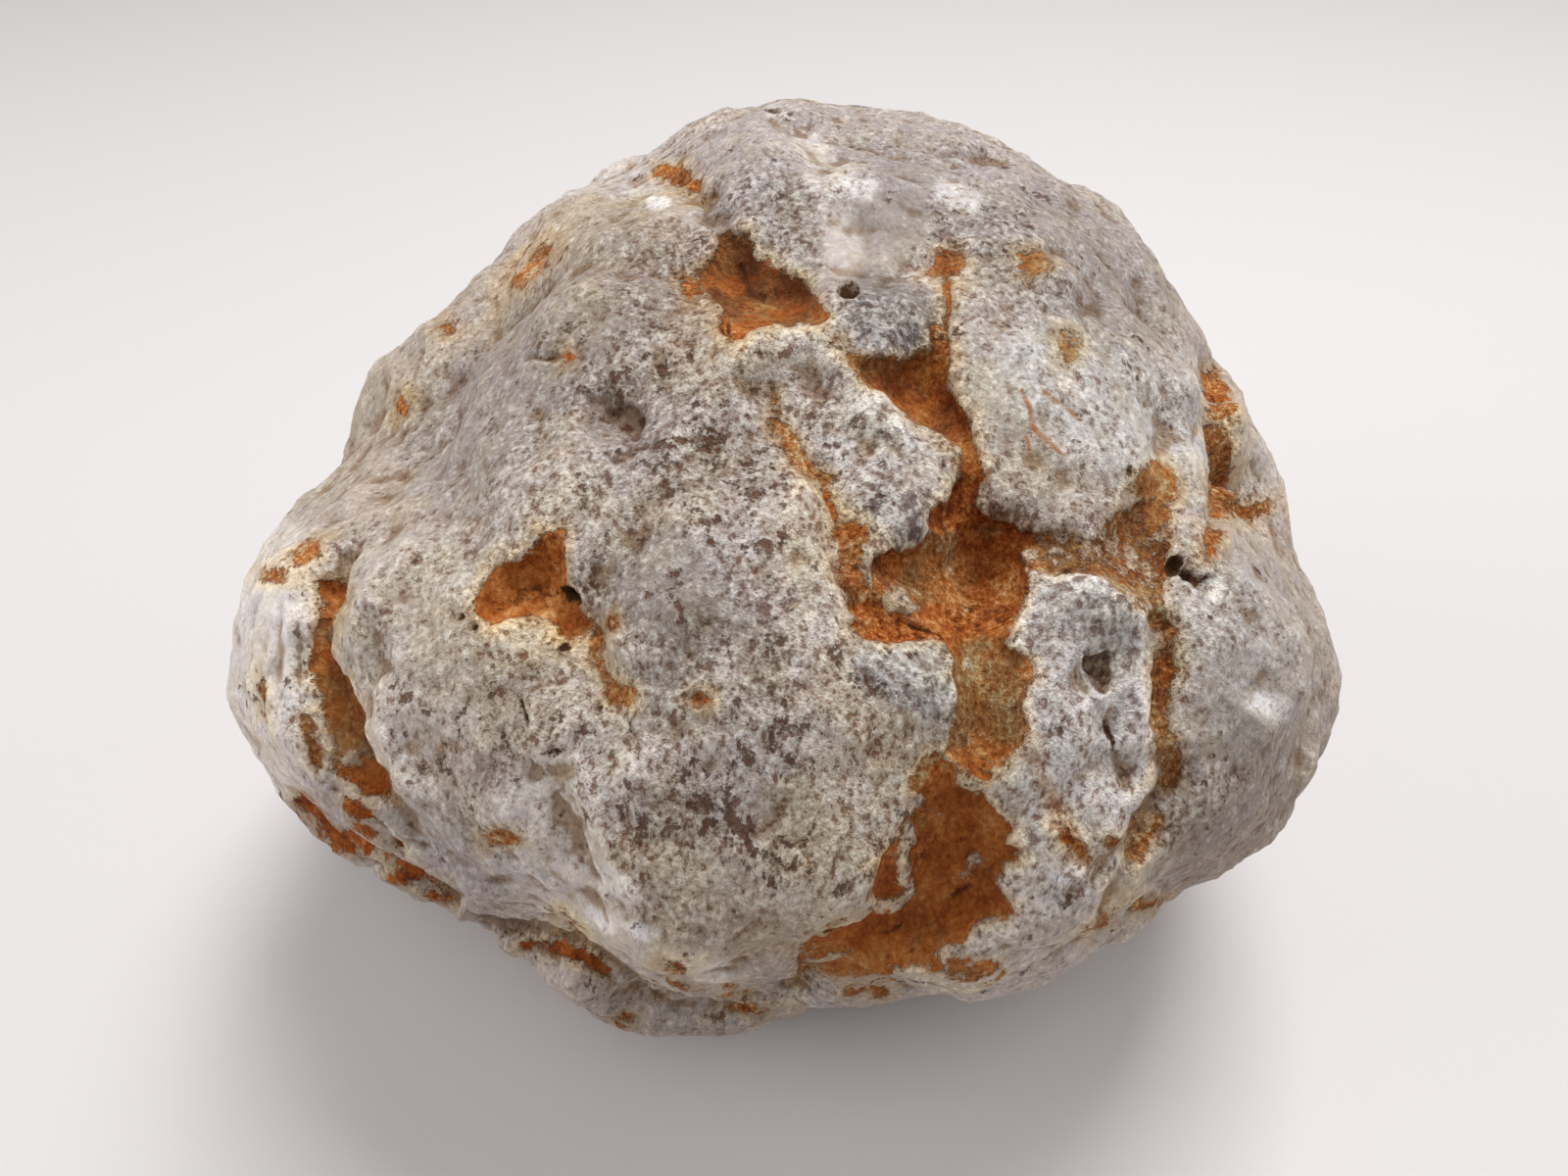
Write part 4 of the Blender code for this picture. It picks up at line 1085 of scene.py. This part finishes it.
def rise(tree, value, low, high, bottom=0.0, top=1.0):
    """An easy curve from bottom to top while a value goes from low to high."""
    step = tree.nodes.new("ShaderNodeMapRange")
    step.interpolation_type = "SMOOTHSTEP"
    feed(tree, value, step.inputs["Value"])
    feed(tree, low, step.inputs["From Min"])
    feed(tree, high, step.inputs["From Max"])
    feed(tree, bottom, step.inputs["To Min"])
    feed(tree, top, step.inputs["To Max"])
    return step.outputs["Result"]


def blend(tree, amount, first, second, how="MIX"):
    """Mixes two colours."""
    step = tree.nodes.new("ShaderNodeMix")
    step.data_type = "RGBA"
    step.blend_type = how
    step.clamp_factor = True
    feed(tree, amount, step.inputs[0])
    feed(tree, first, step.inputs[6])
    feed(tree, second, step.inputs[7])
    return step.outputs[2]


# %% Patterns, and what was stored on the points
def cloud(tree, position, size, detail, roughness, output="Fac"):
    """Fractal noise with lumps of a size in mm, at a position in mm."""
    step = tree.nodes.new("ShaderNodeTexNoise")
    feed(tree, position, step.inputs["Vector"])
    step.inputs["Scale"].default_value = 1.0 / size
    step.inputs["Detail"].default_value = detail
    step.inputs["Roughness"].default_value = roughness
    return step.outputs[output]


def crystals(tree, position, size):
    """A random value for each crystal of a size in mm."""
    step = tree.nodes.new("ShaderNodeTexVoronoi")
    feed(tree, position, step.inputs["Vector"])
    step.inputs["Scale"].default_value = 1.0 / size
    return step.outputs["Color"]


def cell_walls(tree, position, size, width):
    """1 on the walls between cells of a size in mm, falling to 0 over a width in mm."""
    step = tree.nodes.new("ShaderNodeTexVoronoi")
    step.feature = "DISTANCE_TO_EDGE"
    feed(tree, position, step.inputs["Vector"])
    step.inputs["Scale"].default_value = 1.0 / size
    return rise(tree, step.outputs["Distance"], 0.0, width / size, 1.0, 0.0)


def attribute_of(tree, name, output="Fac"):
    """Reads what was stored on the points."""
    step = tree.nodes.new("ShaderNodeAttribute")
    step.attribute_name = name
    return step.outputs[output]


# %% Node groups
def new_group(name, inputs, outputs):
    """A node group with named sockets: {name: (kind, value)} in, {name: kind} out."""
    group = bpy.data.node_groups.new(name, "ShaderNodeTree")
    for socket_name, (kind, value) in inputs.items():
        socket = group.interface.new_socket(socket_name, in_out="INPUT", socket_type=kind)
        if value is not None:
            socket.default_value = value
    for socket_name, kind in outputs.items():
        group.interface.new_socket(socket_name, in_out="OUTPUT", socket_type=kind)
    way_in = group.nodes.new("NodeGroupInput").outputs
    way_out = group.nodes.new("NodeGroupOutput").inputs
    return group, way_in, way_out


def place_group(tree, group, **values):
    """Places a node group in a tree and feeds its inputs by name."""
    step = tree.nodes.new("ShaderNodeGroup")
    step.node_tree = group
    for socket_name, value in values.items():
        feed(tree, value, step.inputs[socket_name.capitalize()])
    return step.outputs


FLOAT = "NodeSocketFloat"
VECTOR = "NodeSocketVector"

# %% [markdown]
# ## Pits
# Small grains have fallen out of the crust and left dark pits with brown dirt in them.
# They are where fine fractal noise is highest; a lower level gives more of them.

# %% Pit group
PIT_LEVEL = 0.655     # how high the noise has to be for a pit, where none are asked for
PIT_GAIN = -0.16      # how much that falls where many are asked for
PIT_PATCHES = 0.35    # how much it varies from patch to patch
PIT_EDGE = 0.08       # how far over the level the noise is where a pit is fully dark

pit_group, pit_in, pit_out = new_group(
    "pits",
    {"Position": (VECTOR, None), "Amount": (FLOAT, 0.3)},
    {"Pits": FLOAT})
pit_noise = cloud(pit_group, pit_in["Position"], 1.7, 5.0, 0.70)
pit_patches = cloud(pit_group, pit_in["Position"], 7.0, 2.0, 0.5)
asked_for = maths(pit_group, "MULTIPLY", pit_in["Amount"], PIT_GAIN)
patchy = maths(pit_group, "MULTIPLY", maths(pit_group, "SUBTRACT", pit_patches, 0.5), PIT_PATCHES)
pit_level = maths(pit_group, "SUBTRACT", maths(pit_group, "ADD", asked_for, PIT_LEVEL), patchy)
pit_full = maths(pit_group, "ADD", pit_level, PIT_EDGE)
feed(pit_group, rise(pit_group, pit_noise, pit_level, pit_full), pit_out["Pits"])
print("group:", pit_group.name)

# %% [markdown]
# ## The rind
# One material for the whole stone: the crust, the clay over it, and the dark of the holes,
# which is painted shade in a dirt brown.  They share their noises, from half a millimetre
# to a centimetre in size, because grains of quartz and crumbs of clay look alike at every
# scale.  The painted tint says which grey the crust has, and the noise says how far each
# grain is from it: clear and brown one way, chalky the other.

# %% The noises that crust and clay share
MM_PER_METRE = 1.0 / MM
DRAWN_UP = 0.64     # the pattern is drawn out upwards, by one over this
WEB_BEND = 2.2      # how far the walls of the web wander

rind = bpy.data.materials.new("rind")
rind.use_nodes = True
tree = rind.node_tree
shader = tree.nodes["Principled BSDF"]
coordinates = tree.nodes.new("ShaderNodeTexCoord").outputs["Object"]
position = vector_maths(tree, "MULTIPLY", coordinates,
                        (MM_PER_METRE, MM_PER_METRE, MM_PER_METRE * DRAWN_UP))
bender = cloud(tree, position, 1.6, 2.0, 0.5, "Color")
bent = vector_maths(tree, "ADD", position, vector_maths(tree, "SCALE", bender, WEB_BEND))

noises = {  # a cloud has its lump size in mm, its detail and its roughness
    "grain": cloud(tree, position, 0.62, 2.0, 0.75),
    "flecks": cloud(tree, position, 1.6, 4.0, 0.70),
    "mottle": cloud(tree, position, 5.0, 6.0, 0.70),
    "cloudy": cloud(tree, position, 11.0, 3.0, 0.55),
    "sugar": crystals(tree, position, 0.55),
    "shards": crystals(tree, position, 1.3),
    "web": cell_walls(tree, bent, 2.0, 0.62),
    "clay_grain": cloud(tree, position, 0.55, 3.0, 0.75),
    "clay_blotch": cloud(tree, position, 4.0, 5.0, 0.65),
}
print("noises:", list(noises))


# %% Short names for sums in this material
def add_up(*values):
    """The sum of several values."""
    total = values[0]
    for value in values[1:]:
        total = maths(tree, "ADD", total, value)
    return total


def share_of(value, share):
    """A value times a share."""
    return maths(tree, "MULTIPLY", value, share)


def rest_of(value):
    """What a value leaves of one."""
    return maths(tree, "SUBTRACT", 1.0, value)


def swing(**gains):
    """The sum of some of the noises, each made to swing about zero with its own gain."""
    return add_up(*[share_of(maths(tree, "SUBTRACT", noises[name], 0.5), gain)
                    for name, gain in gains.items()])


def tinted(amount, colour, factor):
    """A colour multiplied by another, by an amount."""
    return blend(tree, amount, colour, factor, "MULTIPLY")


tint_value = attribute_of(tree, "tint", "Color")
lace_value = attribute_of(tree, "lace")
speck_value = attribute_of(tree, "specks")
cavity_value = attribute_of(tree, "cavity")
clay_value = attribute_of(tree, "clay")

# %% Crust: how pale each grain is
MIDDLE_PALENESS = 0.505
CALMING = 0.7          # share of the pattern that goes where the stone is smooth

calm = rest_of(share_of(attribute_of(tree, "smoothness"), CALMING))
# Lacy places have crisper grains and fainter patches, and pitted ones have bolder patches.
crisp = add_up(share_of(lace_value, 0.10), 0.82)
patchy = add_up(speck_value, share_of(lace_value, -0.35), 0.97)
web_share = share_of(swing(web=0.60), lace_value)
grains = share_of(swing(flecks=1.45, grain=2.6, sugar=0.80, shards=0.32), crisp)
patches = add_up(share_of(swing(mottle=0.55), patchy), swing(cloudy=0.2))
paleness = share_of(add_up(patches, grains, web_share), calm)
paleness = add_up(paleness, MIDDLE_PALENESS)
print("paleness laid, about", MIDDLE_PALENESS)

# %% Crust: its colour
CLEAR = (0.40, 0.245, 0.16, 1.0)       # brown dirt shows through the clear grains
CLEAR_LACE = (0.52, 0.425, 0.41, 1.0)  # lavender chalcedony, where there is no dirt
CHALKY = (1.45, 1.50, 1.52, 1.0)
WHITE = (0.78, 0.76, 0.72, 1.0)
WHITE_SHARE = 0.35
COOL = (0.99, 0.98, 1.03, 1.0)
WARM = (1.02, 1.00, 0.93, 1.0)
DARK_GRAINS = (0.0, 0.5)     # paleness from the clear grains to the tint itself
PALE_GRAINS = (0.45, 1.05)   # paleness from the tint to chalky grains
WARM_NOISE = (0.40, 0.66)

dark_crust = tinted(1.0, tint_value, blend(tree, lace_value, CLEAR, CLEAR_LACE))
pale_crust = blend(tree, WHITE_SHARE, tinted(1.0, tint_value, CHALKY), WHITE)
crust = blend(tree, rise(tree, paleness, *DARK_GRAINS), dark_crust, tint_value)
crust = blend(tree, rise(tree, paleness, *PALE_GRAINS), crust, pale_crust)
warm_share = rise(tree, cloud(tree, position, 6.0, 5.0, 0.68), *WARM_NOISE)
crust = tinted(1.0, crust, blend(tree, warm_share, COOL, WARM))
print("crust laid")

# %% Pits and the dirt in them, with painted shade in low grains and painted light on raised ones
PIT_DIRT = (0.12, 0.048, 0.022, 1.0)
PIT_COVER = 0.9
# Low grains are darkened (painted shade, with dirt) and raised grains are lightened (painted light,
# with wear).
CAVITY_SHADE_AND_DIRT = (0.62, 0.50, 0.40, 1.0)
WORN_AND_LIT = (1.16, 1.16, 1.15, 1.0)
SHADED_AND_DIRTY_BELOW = (0.02, 0.20)   # mm under its neighbours between which a grain gets painted shade and dirt
LIT_AND_WORN_ABOVE = (-0.03, -0.18)  # the same, above them, for painted light and wear

pits = place_group(tree, pit_group, position=position, amount=speck_value)["Pits"]
crust = blend(tree, share_of(pits, PIT_COVER), crust, PIT_DIRT)
# Painted shade in low grains and painted light on raised ones, with dirt and wear.
low_grain = add_up(cavity_value, swing(flecks=0.15))
crust = tinted(rise(tree, low_grain, *SHADED_AND_DIRTY_BELOW), crust, CAVITY_SHADE_AND_DIRT)
crust = tinted(rise(tree, low_grain, *LIT_AND_WORN_ABOVE), crust, WORN_AND_LIT)
print("pits, dirt and worn grains laid")

# %% Clay: its colour
CLAY_RAMP = [
    (0.00, (0.12, 0.032, 0.009)), (0.25, (0.225, 0.068, 0.020)),
    (0.45, (0.34, 0.119, 0.034)), (0.62, (0.43, 0.190, 0.070)),
    (0.80, (0.54, 0.31, 0.155)), (1.00, (0.70, 0.55, 0.40)),
]
OLIVE = (0.93, 1.05, 1.05, 1.0)
RUST = (1.06, 0.79, 0.50, 1.0)
OCHRE = (0.92, 1.32, 1.75, 1.0)
POWDER_CALMING = 0.65       # share of the grain that goes where the clay is powder
TONE_SHARE = 0.4            # of the painted tone
SHADE_GROUND = 0.24         # of clay with no tone, where the noise is at zero
RUST_SHARE = 0.3            # of the painted rust, beside the noise
RUST_NOISE = (0.45, 0.62)
OCHRE_NOISE = (0.3, 0.6)
OCHRE_COVER = 0.8

clay_calm = rest_of(share_of(attribute_of(tree, "powder"), POWDER_CALMING))
shade = add_up(share_of(swing(clay_grain=2.7, flecks=1.05, sugar=0.26), clay_calm),
               swing(clay_blotch=1.3), share_of(attribute_of(tree, "clay_tone"), TONE_SHARE),
               SHADE_GROUND)
ramp = tree.nodes.new("ShaderNodeValToRGB")
while len(ramp.color_ramp.elements) < len(CLAY_RAMP):
    ramp.color_ramp.elements.new(0.5)
for element, (place, colour) in zip(ramp.color_ramp.elements, CLAY_RAMP):
    element.position = place
    element.color = (*colour, 1.0)
feed(tree, shade, ramp.inputs["Fac"])
rust_noise = add_up(cloud(tree, position, 6.0, 4.0, 0.6), swing(clay_blotch=0.5),
                    share_of(attribute_of(tree, "rust"), RUST_SHARE))
rust_or_olive = blend(tree, rise(tree, rust_noise, *RUST_NOISE), OLIVE, RUST)
clay_colour = tinted(1.0, ramp.outputs["Color"], rust_or_olive)
ochre_patches = rise(tree, noises["clay_blotch"], *OCHRE_NOISE)
ochre_share = share_of(attribute_of(tree, "ochre"), ochre_patches)
clay_colour = tinted(share_of(ochre_share, OCHRE_COVER), clay_colour, OCHRE)
print("clay laid, from", len(CLAY_RAMP), "tones")

# %% Clay: its own pits, and its seams
CLAY_PIT = (0.075, 0.022, 0.008, 1.0)
CLAY_PITTING = 0.25
CLAY_PIT_COVER = 0.8
ELSEWHERE = (40.0, 0.0, 0.0)  # mm aside, so that these pits aren't the crust's
SEAM_EDGE = (-0.35, 0.15)     # mm inside a seam between which it is dark
SEAM_COVER = 0.85

aside = vector_maths(tree, "ADD", position, ELSEWHERE)
clay_pits = place_group(tree, pit_group, position=aside, amount=CLAY_PITTING)["Pits"]
clay_pit_cover = share_of(share_of(clay_pits, clay_calm), CLAY_PIT_COVER)
clay_colour = blend(tree, clay_pit_cover, clay_colour, CLAY_PIT)
seam = rise(tree, add_up(attribute_of(tree, "seams"), swing(grain=0.5)), *SEAM_EDGE)
clay_colour = blend(tree, share_of(seam, SEAM_COVER), clay_colour, CLAY_PIT)
print("pits and seams laid in the clay")

# %% The ragged edge between them, and the painted shade in the holes
STAIN = (0.98, 0.84, 0.58, 1.0)
RIM = (1.30, 1.32, 1.36, 1.0)
SEAM_STAIN = (0.38, 0.17, 0.075, 1.0)
HOLE_SHADE_AND_DIRT = (0.070, 0.030, 0.012, 1.0)
CLAY_EDGE = (-0.25, 0.35)  # mm inside the clay between which it covers the crust
STAIN_BAND = (-2.8, 0.2)   # the same, for the stain round it
STAIN_COVER = 0.8
RIM_BAND = (-2.4, -0.9)    # and for its pale rim, strongest on the lacy lobes
BREAKS = (0.35, 0.55)      # noise between which a rust line on the crust breaks up
HOLE_EDGE = (-0.1, 0.35)   # mm inside a hole between which its painted shade comes in

edge = add_up(clay_value, swing(grain=2.0, flecks=3.6, mottle=3.4))
clay_share = rise(tree, edge, *CLAY_EDGE)
halo = rise(tree, add_up(clay_value, swing(mottle=8.0)), *STAIN_BAND)
crust = tinted(share_of(halo, STAIN_COVER), crust, STAIN)
rim = share_of(rise(tree, edge, *RIM_BAND), add_up(share_of(lace_value, 0.7), 0.1))
crust = tinted(rim, crust, RIM)
rust_line = share_of(seam, rise(tree, noises["flecks"], *BREAKS))
crust = blend(tree, rust_line, crust, SEAM_STAIN)
surface = blend(tree, clay_share, crust, clay_colour)

# Holes and cracks are darkened to a deep brown: painted shade, with the brown of dirt.
hole = add_up(attribute_of(tree, "hollow"), swing(flecks=2.0, grain=1.0))
hole = rise(tree, hole, *HOLE_EDGE)
surface = blend(tree, hole, surface, HOLE_SHADE_AND_DIRT)
feed(tree, surface, shader.inputs["Base Color"])
print("base colour:", len(tree.nodes), "nodes so far")

# %% Relief, in mm
PIT_HEIGHT = -0.25
CLAY_PIT_HEIGHT = -0.2
CLAY_LEVEL = -0.25     # the clay lies lower than the crust
WEB_HEIGHT = 0.20

crust_height = add_up(share_of(web_share, WEB_HEIGHT), share_of(pits, PIT_HEIGHT),
                      swing(flecks=0.52, grain=0.34, mottle=0.4, sugar=0.11, shards=0.11))
crust_height = share_of(crust_height, calm)
clay_height = add_up(share_of(swing(clay_grain=0.5, flecks=0.35), clay_calm),
                     swing(clay_blotch=0.9), share_of(clay_pits, CLAY_PIT_HEIGHT), CLAY_LEVEL)
between = maths(tree, "SUBTRACT", clay_height, crust_height)
height_mm = add_up(share_of(clay_share, between), crust_height)
relief = tree.nodes.new("ShaderNodeBump")
relief.inputs["Strength"].default_value = 1.0
relief.inputs["Distance"].default_value = MM
feed(tree, height_mm, relief.inputs["Height"])
feed(tree, relief.outputs["Normal"], shader.inputs["Normal"])
print("relief laid, in mm")

# %% Sheen
CRUST_ROUGHNESS = (0.55, 0.85)  # of the clear grains and of the chalky ones
CHALKINESS = (0.2, 0.9)         # paleness between which one turns into the other
CLAY_ROUGHNESS = 0.95
SHINE = 0.15

crust_roughness = rise(tree, paleness, *CHALKINESS, *CRUST_ROUGHNESS)
clay_roughness = maths(tree, "MAXIMUM", share_of(clay_share, CLAY_ROUGHNESS), hole)
roughness = maths(tree, "MAXIMUM", crust_roughness, clay_roughness)
feed(tree, roughness, shader.inputs["Roughness"])
shader.inputs["Specular IOR Level"].default_value = SHINE
stone.data.materials.append(rind)
print("rind:", len(tree.nodes), "nodes")

# %% Put down
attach(stone, "root")
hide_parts("geode")
